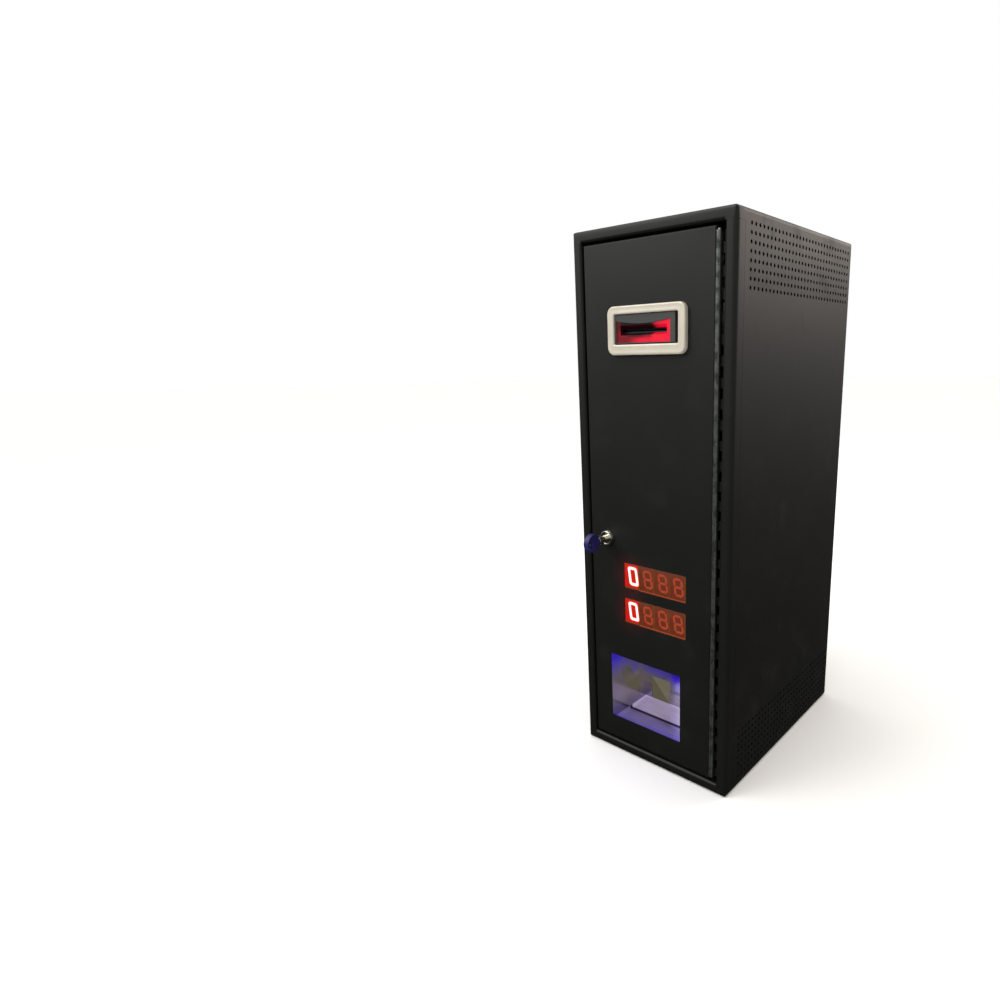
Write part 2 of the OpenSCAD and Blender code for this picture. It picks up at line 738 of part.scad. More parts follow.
// ---------- stacker ----------
module stacker_frame() color("#2b2d31") difference() {
    union() {
        span([head_x0, head_x1], [stack_y0, rail_y1], [stack_z0, stack_z1]);
        for (x = [head_x0 - slide_gap - 2.2, head_x1 + slide_gap])
            span([x, x + 2.2], [box_y0 - 12, box_hinge_y + 5], [stack_z0, stack_z0 + 13]);
        for (s = [0, 1])
            span(s == 0 ? [head_x0 - 1, head_x0 + 1] : [head_x1 - 1, head_x1 + 1],
                [box_y0 - 12, box_y0 - 5], [stack_z0, stack_z0 + 13]);
    }
    span([head_x0 + 2.5, head_x1 - 2.5], [stack_y0 + 2.5, rail_y1 - 2], [stack_z0 + 2.5, stack_z1 - 2.5]);
    span([head_x0 + rail_w, head_x1 - rail_w], [rail_y1 - 3, rail_y1 + 1],
        [stack_z0 + 12, stack_z1 - 8]);
    span([head_x0 - 0.5, head_x1 + 0.5], [rail_y1 - 4, rail_y1 + 1], [stack_z0 - 1, stack_z0 + 14]);
    for (dz = [-1, 1])
        rod_y(stack_y0 - 1, stack_y0 + 4, head_x0 + head_w / 2, (stack_z0 + stack_z1) / 2 + dz * 45,
            guide_r + run_gap);
    rod_x(head_x0 - 5, head_x1 + 5, box_hinge_y, box_hinge_z, stub_r + run_gap);
}

module bill_pusher() {
    mid_x = head_x0 + head_w / 2;
    mid_z = (stack_z0 + stack_z1) / 2;
    color("#d8d9d4") union() {
        span([mid_x - push_w / 2, mid_x + push_w / 2], [push_y1 - push_t, push_y1],
            [mid_z - push_h / 2, mid_z + push_h / 2]);
        for (dz = [-1, 1]) {
            rod_y(stack_y0 - 1, push_y1 - 1, mid_x, mid_z + dz * 45, guide_r);
            rod_y(push_y1 - push_t - 6, push_y1 - 1, mid_x, mid_z + dz * 45, guide_r + 3);
        }
    }
}

module bill_box() color("#26282c") difference() {
    union() {
        span([head_x0, head_x1], [box_y0, box_y1], [box_z0, stack_z1 - 1.5]);
        for (s = [0, 1])
            rod_x(s == 0 ? head_x0 - 2.3 : head_x1 - 1, s == 0 ? head_x0 + 1 : head_x1 + 2.3,
                box_hinge_y, box_hinge_z, stub_r);
        span([bill_x - 12, bill_x + 18], [box_y1 - 1, box_y1 + 4], [stack_z1 - 20, stack_z1 - 4]);
    }
    span([head_x0 + box_wall, head_x1 - box_wall], [box_y0 - 1, box_y1 - box_wall],
        [box_z0 + box_wall + 3, stack_z1 - 1.5 - box_wall]);
    span([bill_x - 10, bill_x + 16], [box_y1 + 1, box_y1 + 5], [stack_z1 - 18, stack_z1 - 6]);
    round_x(head_x0 - 5, head_x1 + 5, box_y0, box_z0, 1, 1, 2);
}

module pressure_plate() color("#a9acb0") difference() {
    span([head_x0 + box_wall + 1, head_x1 - box_wall - 1], [box_y0 + 0.5, box_y0 + 0.5 + plate_t],
        [box_z0 + 8, stack_z1 - 6]);
    for (dz = [-50, 0, 50])
        rod_y(box_y0, box_y0 + 5, head_x0 + head_w / 2, (stack_z0 + stack_z1) / 2 + dz, 6);
}

// ---------- displays ----------
module display(z) color("#b4380f") span([disp_x - disp_w / 2, disp_x + disp_w / 2],
    [disp_y0, board_y0], [z - disp_h / 2, z + disp_h / 2]);

module display_board() {
    x0 = disp_x - disp_w / 2 - board_margin;
    x1 = disp_x + disp_w / 2 + board_margin;
    y1 = board_y0 + pcb_t;
    z0 = disp_z - disp_h / 2 - board_margin;
    z1 = disp_z2 + disp_h / 2 + board_margin;
    color("#1f5c35") difference() {
        union() {
            span([x0, x1], [board_y0, y1], [z0, z1]);
            for (z = [disp_z, disp_z2]) {
                span([disp_x - 26, disp_x - 6], [y1 - eps, y1 + 3.5], [z - 5, z + 5]);
                span([disp_x + 8, disp_x + 28], [y1 - eps, y1 + 3.5], [z - 5, z + 5]);
            }
            span([x0 + 6, x0 + 13], [y1 - eps, y1 + 7], [(z0 + z1) / 2 - 11, (z0 + z1) / 2 + 11]);
            for (sx = [x0 + 3, x1 - 3], sz = [z0 + 3, z1 - 3]) rod_y(door_y1, board_y0, sx, sz, 2.5);
        }
    }
}

// ---------- coin tray ----------
module coin_tray() {
    t = tray_t;
    color("#b9bcc6") difference() {
        union() {
            span([tray_x0 - t, tray_x1 + t], [door_y1, tray_y1 + t], [tray_floor - t, tray_top + t]);
            span([tray_x0 - tray_flange, tray_x1 + tray_flange], [door_y1, door_y1 + t],
                [tray_floor - tray_flange, tray_top + tray_flange]);
        }
        difference() {
            span([tray_x0, tray_x1], [door_y1 - 1, tray_y1], [tray_floor, tray_top]);
            along_x(tray_x0 - 1, tray_x1 + 1) polygon([[ramp_y, tray_floor - 1], [ramp_y, tray_floor],
                [tray_y1 + 1, tray_floor + ramp_rise], [tray_y1 + 1, tray_floor - 1]]);
        }
        span([coin_x0, coin_x1], [tray_y1 - 1, tray_y1 + t + 1], [coin_z0, coin_z1]);
    }
}

module tray_led_strip() color("#2a46ff") union() {
    span([tray_x0 + 4, tray_x1 - 4], [door_y1 + 3, door_y1 + 11], [tray_top - 1.6, tray_top]);
    for (i = [0 : 8]) translate([tray_x0 + 10 + i * (win_w - 20) / 8, door_y1 + 7, tray_top - 3])
        cylinder(r = 1.6, h = 1.6);
}

// ---------- door fasteners ----------
module stud_nut(x, y, z, r) {
    rod_y(y, y + 6, x, z, r);
    translate([x, y, z]) rotate([-90, 0, 0]) cylinder(r = 2 * r, h = 3, $fn = 6);
}

module door_nuts() color("#c9ccd0") {
    for (p = bracket_studs) if (p[1] > mouth_z) stud_nut(p[0], bracket_y1, p[1], 2);
    for (sx = [tray_x0 - 3, tray_x1 + 3], sz = [tray_floor + 14, tray_top - 14])
        rod_y(door_y1 + tray_t, door_y1 + tray_t + 1.6, sx, sz, 1.8);
}

// ---------- coin hopper ----------
module hop_outline(grow) translate([(hop_y0 + hop_y1) / 2, (hop_z0 + hop_z1) / 2])
    rrect(hop_d + 2 * grow, hop_h + 2 * grow, hop_r);

module hopper_base() color("#9fa3a8") union() {
    span([hop_x0 - 8, cov_x1 + 8], [hop_y0 - 4, hop_y1 + 6], [base_z - base_t, base_z]);
    for (x = [hop_x0 - 8, cov_x1 + 8 - base_t])
        span([x, x + base_t], [hop_y0 - 4, hop_y1 + 6], [wall, base_z - base_t + eps]);
    for (x = [hop_x0 - 3, cov_x1 + 1])
        span([x, x + 2], [hop_y0 + 10, hop_y1 - 20], [base_z - eps, base_z + 7]);
}

module hopper_bowl() color("#202124") difference() {
    along_x(hop_x0, mid_x0) hop_outline(0);
    // coins lie on the upper side of one sloping floor, and its underside is open
    along_y(hop_y0 + hop_wall, hop_y1 - hop_wall) {
        polygon([[hop_x0 + hop_wall, hop_z1 + 1], [hop_x0 + hop_wall, hop_z0 + 95],
            [mid_x0 + 1, hop_z0 + 52], [mid_x0 + 1, hop_z1 + 1]]);
        polygon([[hop_x0 + hop_wall, hop_z0 - 1], [hop_x0 + hop_wall, hop_z0 + 91],
            [mid_x0 - hop_wall, hop_z0 + 50], [mid_x0 - hop_wall, hop_z0 - 1]]);
    }
}

module hopper_middle() color("#f2c200") difference() {
    along_x(mid_x0, mid_x1) hop_outline(0);
    rod_x(disc_x0 - slide_gap, mid_x1 + 1, disc_y, disc_z, disc_r + 0.8);
    span([mid_x0 - 1, disc_x0], [disc_y - 28, disc_y + 28], [disc_z - 26, disc_z + 26]);
    span([disc_x0 - 4, mid_x1 + 1], [hop_y0 - 1, disc_y - disc_r + 8], [exit_z0, exit_z1]);
}

module hopper_cover() color("#202124") difference() {
    union() {
        along_x(mid_x1, cov_x1 - 2) hop_outline(0);
        rod_x(cov_x1 - 3, cov_x1, disc_y, disc_z, 66);
        rod_x(cov_x1 - 3, cov_x1 - 1, disc_y, disc_z, 72);
    }
    along_x(mid_x1 - 1, cov_x1 - 2 - hop_wall) translate([(hop_y0 + hop_y1) / 2, (hop_z0 + hop_z1) / 2])
        rrect(hop_d - 2 * hop_wall, hop_h - 2 * hop_wall, hop_r - hop_wall);
    rod_x(cov_x1 - 6, cov_x1 + 1, disc_y, disc_z, disc_shaft_r + run_gap);
}

module hopper_disc() color("#c9a24a") difference() {
    union() {
        rod_x(disc_x0, disc_x0 + disc_t, disc_y, disc_z, disc_r);
        rod_x(disc_x0 - 3, cov_x1 - 0.5, disc_y, disc_z, disc_shaft_r);
        rod_x(disc_x0 + disc_t - eps, gear_x0, disc_y, disc_z, 12);
    }
    for (i = [0 : 7]) rotate_disc(i * 45) rod_x(disc_x0 - 1, disc_x0 + disc_t + 1, disc_y + 46, disc_z, 13);
}

module rotate_disc(a) translate([0, disc_y, disc_z]) rotate([a, 0, 0])
    translate([0, -disc_y, -disc_z]) children();

// Involute spur gear of z teeth, with its backlash taken off each tooth's flanks
function inv_deg(a) = tan(a) * 180 / PI - a;
function flank(z, m, r, thin) = let (rp = m * z / 2, rb = rp * cos(20), q = max(r, rb))
    90 / z - thin / rp * 90 / PI + inv_deg(20) - inv_deg(acos(min(1, rb / q)));
module gear(z, m, thin) {
    rp = m * z / 2;
    radii = [rp - 1.25 * m, rp - 0.6 * m, rp, rp + 0.5 * m, rp + m];
    polygon([for (i = [0 : z - 1], k = [-5 : 4])
        let (side = k < 0 ? -1 : 1, r = radii[k < 0 ? k + 5 : 4 - k])
        let (a = i * 360 / z + side * flank(z, m, r, thin))
        [r * cos(a), r * sin(a)]]);
}

module hopper_wheel_gear() color("#e7e4d8") difference() {
    along_x(gear_x0, gear_x0 + gear_t) translate([disc_y, disc_z]) rotate(180 / wheel_teeth - 90)
        gear(wheel_teeth, gear_m, gear_back);
    rod_x(gear_x0 - 1, gear_x0 + gear_t + 1, disc_y, disc_z, disc_shaft_r);
}

module hopper_pinion() color("#e7e4d8") difference() {
    along_x(gear_x0, gear_x0 + gear_t) translate([disc_y, pinion_z]) rotate(90)
        gear(pinion_teeth, gear_m, gear_back);
    rod_x(gear_x0 - 1, gear_x0 + gear_t + 1, disc_y, pinion_z, 2.5 + run_gap);
}

module hopper_motor() color("#8c9096") union() {
    rod_x(gear_x0 + gear_t + 2, cov_x1 - 2 - hop_wall, disc_y, pinion_z, 15);
    rod_x(gear_x0 - 2, gear_x0 + gear_t + 3, disc_y, pinion_z, 2.5);
}

module hopper_screws() color("silver") for (y = [hop_y0 + 12, hop_y1 - 12], z = [hop_z0 + 12, hop_z1 - 12])
    difference() {
        rod_x(cov_x1 - 2, cov_x1 - 0.4, y, z, 3);
        span([cov_x1 - 0.9, cov_x1], [y - 2, y + 2], [z - 0.4, z + 0.4]);
    }

module coin_chute() {
    t = chute_t;
    y0 = tray_y1 + tray_t + slide_gap;
    y1 = hop_y0 - slide_gap;
    low = coin_z0 - 1;
    top = exit_z1 + 4;
    left = mid_x0 - 6;
    right = mid_x1 + 4;
    color("#9fa3a8") union() {
        along_y(y0, y1) {
            polygon([[coin_x0 - t, low], [coin_x0, low], [coin_x0, low + outlet_h + 1],
                [left, top], [left - t, top], [coin_x0 - t, low + outlet_h + 1]]);
            polygon([[coin_x1, low], [coin_x1 + t, low], [coin_x1 + t, low + slide_z],
                [right, exit_z0 - 3], [right, top], [right - t, top],
                [right - t, exit_z0 - 2.4], [coin_x1, low + slide_z + 0.6]]);
        }
        along_x(coin_x0 - eps, coin_x1 + eps)
            polygon([[y0, low - t], [y1, low + chute_fall - t], [y1, low + chute_fall], [y0, low]]);
        span([coin_x0 - t, coin_x1 + t], [y1 - t, y1], [base_z, low + slide_z]);
        span([coin_x0 - t, coin_x0 + chute_back_w], [y1 - t, y1], [low, low + outlet_h + 1]);
    }
}

// ---------- power and control ----------
module power_inlet() {
    y1 = back_y + 2;
    color("#161616") difference() {
        union() {
            span([inlet_x - inlet_w / 2 + seat_gap, inlet_x + inlet_w / 2 - seat_gap],
                [inner_back - 20, back_y],
                [inlet_z - inlet_h / 2 + seat_gap, inlet_z + inlet_h / 2 - seat_gap]);
            along_y(back_y, y1) translate([inlet_x, inlet_z]) rrect(inlet_w + 4, inlet_h + 4, 2);
        }
        along_y(back_y - 16, y1 + 1) translate([inlet_x, inlet_z]) difference() {
            square([24, 16], center = true);
            for (s = [-1, 1]) translate([s * 12, 8]) rotate(45) square(7, center = true);
        }
    }
    color("silver") for (p = [[-7, -1], [0, 3], [7, -1]])
        span([inlet_x + p[0] - 1, inlet_x + p[0] + 1], [back_y - 17, back_y - 2],
            [inlet_z + p[1] - 2, inlet_z + p[1] + 2]);
}

module switch_housing() color("#161616") difference() {
    union() {
        span([inlet_x - switch_w / 2 + seat_gap, inlet_x + switch_w / 2 - seat_gap],
            [inner_back - 16, back_y],
            [switch_z - switch_h / 2 + seat_gap, switch_z + switch_h / 2 - seat_gap]);
        along_y(back_y, back_y + 2) translate([inlet_x, switch_z]) rrect(switch_w + 2.4, switch_h + 2.4, 1);
    }
    span([inlet_x - 4.6, inlet_x + 4.6], [back_y - 8, back_y + 3], [switch_z - 8, switch_z + 8]);
    rod_x(inlet_x - 5.8, inlet_x + 5.8, rocker_y, switch_z, 1 + run_gap);
}

module switch_rocker() color("#b01818") union() {
    translate([0, rocker_y, switch_z]) rotate([-switch_tilt, 0, 0])
        along_x(inlet_x - 4.2, inlet_x + 4.2)
            polygon([[-2.5, -rocker_r], [3, -rocker_r], [4.6, -rocker_r + 0.6], [3.4, 0],
                [4.6, rocker_r - 0.6], [3, rocker_r], [-2.5, rocker_r]]);
    rod_x(inlet_x - 5.5, inlet_x + 5.5, rocker_y, switch_z, 1);
}

module power_supply() color("#aeb2b7") difference() {
    union() {
        span([supply_x0, supply_x0 + supply_w], [inner_back - supply_d, inner_back],
            [supply_z0, supply_z0 + supply_h]);
        span([supply_x0 + 8, supply_x0 + supply_w - 8], [inner_back - supply_d + 4, inner_back - 18],
            [supply_z0 - 9, supply_z0 + eps]);
    }
}

module control_board() {
    x0 = inner_x - spacer_l - pcb_t;
    color("#1f5c35") union() {
        span([x0, x0 + pcb_t], board_y, board_z);
        for (z = [board_z[0] + 12 : 24 : board_z[1] - 20])
            span([x0 - 9, x0 + eps], [board_y[0] + 4, board_y[0] + 12], [z, z + 18]);
        span([x0 - 4, x0 + eps], [board_y[0] + 40, board_y[0] + 55], [board_z[0] + 40, board_z[0] + 75]);
        span([x0 - 15, x0 + eps], [board_y[1] - 40, board_y[1] - 20], [board_z[1] - 36, board_z[1] - 12]);
        for (z = [board_z[0] + 16, board_z[0] + 34])
            rod_x(x0 - 14, x0 + eps, board_y[1] - 18, z, 6);
    }
}

module board_spacers() color("#c9a24a")
    for (y = [board_y[0] + 5, board_y[1] - 5], z = [board_z[0] + 5, board_z[1] - 5])
        rod_x(inner_x - spacer_l, inner_x, y, z, spacer_r);

module cabinet_screws() color("silver") {
    for (y = [board_y[0] + 5, board_y[1] - 5], z = [board_z[0] + 5, board_z[1] - 5])
        rod_x(inner_x - spacer_l - pcb_t - 1.8, inner_x - spacer_l - pcb_t, y, z, 2.8);
    for (y = [hop_y0 + 2, hop_y1 - 8], x = [hop_x0 - 5.5, cov_x1 + 5.2])
        translate([x, y, base_z]) cylinder(r = 2.2, h = 1.8);
}

side_panel(-side_x);  // left_side_panel
side_panel(side_x - wall);  // right_side_panel
top_panel();
bottom_panel();
back_panel();
stile(-1);  // frame_left_stile
stile(1);  // frame_right_stile
rail(true);  // frame_top_rail
rail(false);  // frame_bottom_rail
hinge_frame_leaf();
hinge_pin();
power_inlet();
switch_housing();
switch_rocker();
power_supply();
control_board();
board_spacers();
hopper_base();
coin_chute();
cabinet_screws();
hopper_bowl();
hopper_middle();
hopper_cover();
hopper_disc();
hopper_wheel_gear();
hopper_pinion();
hopper_motor();
hopper_screws();
door_panel();
hinge_door_leaf();
lock_barrel();
lock_nut();
lock_plug();
lock_cam();
key_shaft();
key_head();
mouth_bezel();
mouth_shroud();
mouth_lens();
validator_bracket();
validator_lower();
validator_lid();
feed_shaft(feed_y[0]);  // feed_shaft_front
feed_rollers(feed_y[0]);  // feed_rollers_front
feed_shaft(feed_y[1]);  // feed_shaft_rear
feed_rollers(feed_y[1]);  // feed_rollers_rear
idler_rollers(feed_y[0]);  // idler_rollers_front
idler_rollers(feed_y[1]);  // idler_rollers_rear
feed_belt();
feed_motor();
stacker_frame();
bill_pusher();
bill_box();
pressure_plate();
display(disp_z2);  // display_upper
display(disp_z);  // display_lower
display_board();
coin_tray();
tray_led_strip();
door_nuts();
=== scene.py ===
# %% [markdown]
# # A bill acceptor and coin changer in a steel cabinet
#
# The cabinet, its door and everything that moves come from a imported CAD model. This lesson
# loads that model as a fixed frame, gives each part its finish, and adds the small pieces that
# a CAD model leaves out: the cast rim of the bill mouth, the numerals, the perforated cover of
# the power supply and the parts on the circuit boards.

import math

import bmesh
import bpy
from mathutils import Matrix, Vector


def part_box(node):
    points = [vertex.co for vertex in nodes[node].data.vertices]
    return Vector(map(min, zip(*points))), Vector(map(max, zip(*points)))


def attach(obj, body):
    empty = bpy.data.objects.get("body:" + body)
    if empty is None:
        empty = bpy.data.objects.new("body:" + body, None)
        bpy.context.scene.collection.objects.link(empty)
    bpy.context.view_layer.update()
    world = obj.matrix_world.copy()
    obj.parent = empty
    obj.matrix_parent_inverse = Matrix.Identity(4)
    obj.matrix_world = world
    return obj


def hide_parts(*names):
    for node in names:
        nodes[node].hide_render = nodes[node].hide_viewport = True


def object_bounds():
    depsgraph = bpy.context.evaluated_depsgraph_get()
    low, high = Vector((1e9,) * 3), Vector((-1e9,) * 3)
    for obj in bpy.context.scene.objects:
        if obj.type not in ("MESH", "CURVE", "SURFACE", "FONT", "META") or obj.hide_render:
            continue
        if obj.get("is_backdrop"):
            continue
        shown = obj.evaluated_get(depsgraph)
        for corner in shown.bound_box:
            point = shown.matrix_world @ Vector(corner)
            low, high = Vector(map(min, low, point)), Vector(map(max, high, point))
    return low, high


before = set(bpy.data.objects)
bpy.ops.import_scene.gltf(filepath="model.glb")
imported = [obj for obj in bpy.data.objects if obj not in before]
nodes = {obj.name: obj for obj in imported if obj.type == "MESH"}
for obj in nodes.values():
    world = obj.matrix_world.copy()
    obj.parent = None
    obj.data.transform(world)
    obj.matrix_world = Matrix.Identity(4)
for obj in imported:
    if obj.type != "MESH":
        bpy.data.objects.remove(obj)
cad_low, cad_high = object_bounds()
MM = 0.001

# %% [markdown]
# ## The camera
#
# The cabinet is seen from its front right corner, a little below its top, by a wide lens. A
# camera could be aimed with a Track To constraint, but a fixed heading, tilt and roll are
# easier to read and never change when something else moves. The shift slides the picture
# sideways, as the front of a view camera does, so that the uprights keep their lean.

# %% Set up the camera
CAMERA_PLACE = (0.3982, -0.6668, 0.4690)
HEADING = math.radians(38.621)
TILT = math.radians(-13.378)
ROLL = math.radians(-0.900)

lens = bpy.data.cameras.new("front_right")
lens.sensor_width = 36.0
lens.lens = 22.80
lens.shift_x = -0.1327
lens.shift_y = 0.0089
camera = bpy.data.objects.new("front_right", lens)
camera.matrix_world = (
    Matrix.Translation(CAMERA_PLACE)
    @ Matrix.Rotation(HEADING, 4, "Z")
    @ Matrix.Rotation(math.pi / 2 + TILT, 4, "X")
    @ Matrix.Rotation(ROLL, 4, "Z")
)
bpy.context.scene.collection.objects.link(camera)
bpy.context.scene.camera = camera
print(f"camera {camera.location.length:.2f} m from the foot of the cabinet")

# %% [markdown]
# ## Sums on sockets
#
# A finish is a network of shader nodes. Wiring each Math node by hand hides what is meant, so
# one small class stands for a socket: `1 - mask` on it adds the Math node and its links. Its
# node method adds any other node, with the node's settings first and its sockets second.


# %% Write shader sums as Python
class Wire:
    """A socket in a node tree that takes part in sums as a number does."""

    def __init__(self, socket):
        self.socket = socket

    def node(self, kind, settings=None, sockets=None, out=0):
        """Adds a node: first its settings, then the value or link of each socket."""
        made = self.socket.id_data.nodes.new(kind)
        for name, value in (settings or {}).items():
            if name == "stops":
                ramp = made.color_ramp.elements
                ramp.remove(ramp[-1])
                ramp[0].position, ramp[0].color = value[0]
                for place, colour in value[1:]:
                    ramp.new(place).color = colour
            else:
                setattr(made, name, value)
        for name, value in (sockets or {}).items():
            if isinstance(value, Wire):
                self.socket.id_data.links.new(value.socket, made.inputs[name])
            else:
                made.inputs[name].default_value = value
        return Wire(made.outputs[out])

    def math(self, operation, *terms):
        return self.node("ShaderNodeMath", {"operation": operation}, dict(enumerate(terms)))

    def __add__(self, other):
        return self.math("ADD", self, other)

    def __sub__(self, other):
        return self.math("SUBTRACT", self, other)

    def __rsub__(self, other):
        return self.math("SUBTRACT", other, self)

    def __mul__(self, other):
        return self.math("MULTIPLY", self, other)

    def vector(self, operation, *terms, out=0):
        settings = {"operation": operation}
        return self.node("ShaderNodeVectorMath", settings, dict(enumerate(terms)), out)

    __radd__ = __add__
    __rmul__ = __mul__


def tint(red, green, blue):
    """A colour given 0 to 255 a channel, as the linear light that shaders add up."""
    linear = [
        c / 12.92 if c <= 0.04045 else ((c + 0.055) / 1.055) ** 2.4
        for c in (red / 255, green / 255, blue / 255)
    ]
    return (*linear, 1.0)


print("tint(128, 128, 128) is", round(tint(128, 128, 128)[0], 3))

# %% [markdown]
# ## The words of a finish
#
# Every finish here starts from the place of a point on the part, in metres, so a grain keeps
# its true size on every part. The helpers name what a finisher talks about: cloud for slow
# changes of tone, grain for fine texture, a band that rises between two values, and relief
# for what the light catches.


# %% Name the helpers of a finish
FINISH = {}


def begin(name):
    """Starts a finish, and returns the place of a point on the part, in metres."""
    material = bpy.data.materials.new(name)
    material.use_nodes = True
    FINISH[name] = material
    return Wire(material.node_tree.nodes.new("ShaderNodeTexCoord").outputs["Object"])


def settle(place, sockets):
    """Connects what was worked out to the sockets of the finish's own shader."""
    tree = place.socket.id_data
    shader = tree.nodes["Principled BSDF"]
    for name, value in sockets.items():
        if isinstance(value, Wire):
            tree.links.new(value.socket, shader.inputs[name])
        else:
            shader.inputs[name].default_value = value


def axis(place, which):
    """The place along X, Y or Z."""
    return place.node("ShaderNodeSeparateXYZ", sockets={"Vector": place}, out="XYZ".index(which))


def cloud(place, scale, detail=3.0, stretch=(1, 1, 1)):
    """Soft noise, about 0.5 on average; scale is patches per metre."""
    spread = place.node("ShaderNodeMapping", sockets={"Vector": place, "Scale": stretch})
    return place.node(
        "ShaderNodeTexNoise", sockets={"Vector": spread, "Scale": scale, "Detail": detail}
    )


def band(value, low, high):
    """0 below low, 1 above high and a smooth rise between them."""
    return value.node(
        "ShaderNodeMapRange",
        {"interpolation_type": "SMOOTHSTEP"},
        {"Value": value, "From Min": low, "From Max": high},
    )


def blend(mask, first, second):
    """The first colour where the mask is 0 and the second where it is 1."""
    return mask.node("ShaderNodeMix", {"data_type": "RGBA"}, {0: mask, 6: first, 7: second}, 2)


def relief(height, depth, strength=1.0):
    """Turns a height into slopes; depth is in millimetres."""
    return height.node(
        "ShaderNodeBump", sockets={"Height": height, "Distance": depth * MM, "Strength": strength}
    )


def near(place, centre, reach):
    """1 at a centre and 0 past its reach, both three numbers in millimetres."""
    moved = place.vector("SUBTRACT", place, [c * MM for c in centre])
    scaled = place.vector("DIVIDE", moved, [r * MM for r in reach])
    away = place.vector("LENGTH", scaled, out=1)
    return band(1 - away, 0.0, 1.0)


print("helpers ready")

# %% [markdown]
# ## Floor and light
#
# The cabinet stands on a plain pale floor in a soft white room. The floor could be a swept
# backdrop, but the cabinet is looked at from every side, so a wide flat floor is better. Black
# paint shows mostly what it mirrors: the room is bright overhead and dim low down, which
# shades the door from top to bottom, and the floor is left out of mirror images for the same
# reason. Two large lamps shade the front and the side, and a wide skylight, which is a sun lamp
# with a broad face, lights the whole floor evenly and gives the shadow its soft edge.

# %% Make the floor and its finish
place = begin("floor_paper")
settle(place, {
    "Base Color": blend(cloud(place, 3.0), tint(240, 239, 236), tint(245, 244, 242)),
    "Roughness": 0.7 + 0.1 * cloud(place, 400.0),
})
FLOOR_RADIUS = 14.0
sheet = bmesh.new()
bmesh.ops.create_circle(sheet, cap_ends=True, segments=96, radius=FLOOR_RADIUS)
mesh = bpy.data.meshes.new("floor")
sheet.to_mesh(mesh)
sheet.free()
mesh.materials.append(FINISH["floor_paper"])
floor = bpy.data.objects.new("floor", mesh)
bpy.context.scene.collection.objects.link(floor)
floor.visible_glossy = False
floor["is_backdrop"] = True
print(f"floor {2 * FLOOR_RADIUS:.0f} m across")

# %% Light the room
world = bpy.data.worlds.new("white_room")
world.use_nodes = True
bpy.context.scene.world = world
bpy.context.scene.view_settings.view_transform = "Standard"
tree = world.node_tree
tree.nodes.clear()
direction = Wire(tree.nodes.new("ShaderNodeTexCoord").outputs["Generated"])
upward = axis(direction, "Z")
ROOM_STOPS = [
    (0.00, (0.015, 0.015, 0.015, 1)),
    (0.42, (0.03, 0.03, 0.03, 1)),
    (0.52, (0.46, 0.46, 0.45, 1)),
    (0.70, (0.62, 0.61, 0.59, 1)),
    (1.00, (0.85, 0.85, 0.85, 1)),
]
room = upward.node("ShaderNodeValToRGB", {"stops": ROOM_STOPS}, {"Fac": upward * 0.5 + 0.5})
lit = room.node("ShaderNodeBackground", sockets={"Color": room, "Strength": 1.0})
seen = room.node("ShaderNodeBackground", sockets={"Color": (1, 1, 1, 1)})
first_look = Wire(tree.nodes.new("ShaderNodeLightPath").outputs["Is Camera Ray"])
both = room.node("ShaderNodeMixShader", sockets={0: first_look, 1: lit, 2: seen})
output = tree.nodes.new("ShaderNodeOutputWorld")
tree.links.new(both.socket, output.inputs["Surface"])


def lamp(name, place, aim, size, power, colour):
    """A square soft lamp that looks at a point."""
    light = bpy.data.lights.new(name, "AREA")
    light.size, light.energy, light.color = size, power, colour
    made = bpy.data.objects.new(name, light)
    made.location = place
    made.rotation_euler = (Vector(aim) - Vector(place)).to_track_quat("-Z", "Y").to_euler()
    bpy.context.scene.collection.objects.link(made)


lamp("front_lamp", (-1.3, -1.6, 1.7), (0, 0, 0.35), 1.3, 20, (1.0, 0.99, 0.97))
lamp("back_lamp", (1.0, 2.0, 1.5), (0, 0, 0.45), 1.3, 26, (1.0, 0.87, 0.79))
skylight = bpy.data.lights.new("skylight", "SUN")
skylight.energy = 1.5
skylight.angle = math.radians(50)
overhead = bpy.data.objects.new("skylight", skylight)
overhead.rotation_euler = (math.radians(14), math.radians(-12), 0)
bpy.context.scene.collection.objects.link(overhead)
print("two lamps, a skylight and a white room")

# %% [markdown]
# ## Painted steel
#
# Cabinet, frame and door are bent steel sheet with a black powder coat. Powder melts into a
# skin with a fine orange peel, which blurs every reflection. A flat black would look like a
# hole, so the coat gets slow patches where it is a little thicker, the orange peel as relief,
# and a trace of dust and handling that only changes how it shines.


# %% Mix the powder coat
def powder_coat(name, glow=None):
    place = begin(name)
    patches = cloud(place, 9.0, 4.0)
    peel = cloud(place, 900.0, 2.0) * 0.7 + cloud(place, 2600.0, 1.0) * 0.3
    dust = band(cloud(place, 34.0, 6.0), 0.52, 0.78)
    sockets = {
        "Base Color": blend(patches * 0.6 + dust * 0.4, tint(13, 14, 12), tint(23, 23, 21)),
        "Roughness": 0.45 + 0.08 * patches + 0.08 * dust,
        "Specular IOR Level": 0.36,
        "Normal": relief(peel, 0.05, 0.45),
    }
    if glow:
        sockets["Emission Color"] = glow(place)
        sockets["Emission Strength"] = 1.0
    settle(place, sockets)


powder_coat("black_powder_coat")
print("powder coat mixed")

# %% [markdown]
# The door wears the same coat. Two lit numerals sit in it, and their red light creeps over
# the paint beside them. Light that grazes a flat panel is too weak for a lamp to show, so the
# creeping light is a faint glow in the coat itself, around each numeral.

# %% Mix the coat of the door
NUMERAL_X = -24.8
DISPLAY_Z = [
    (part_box(name)[0].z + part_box(name)[1].z) / 2 / MM for name in ("display_lower", "display_upper")
]


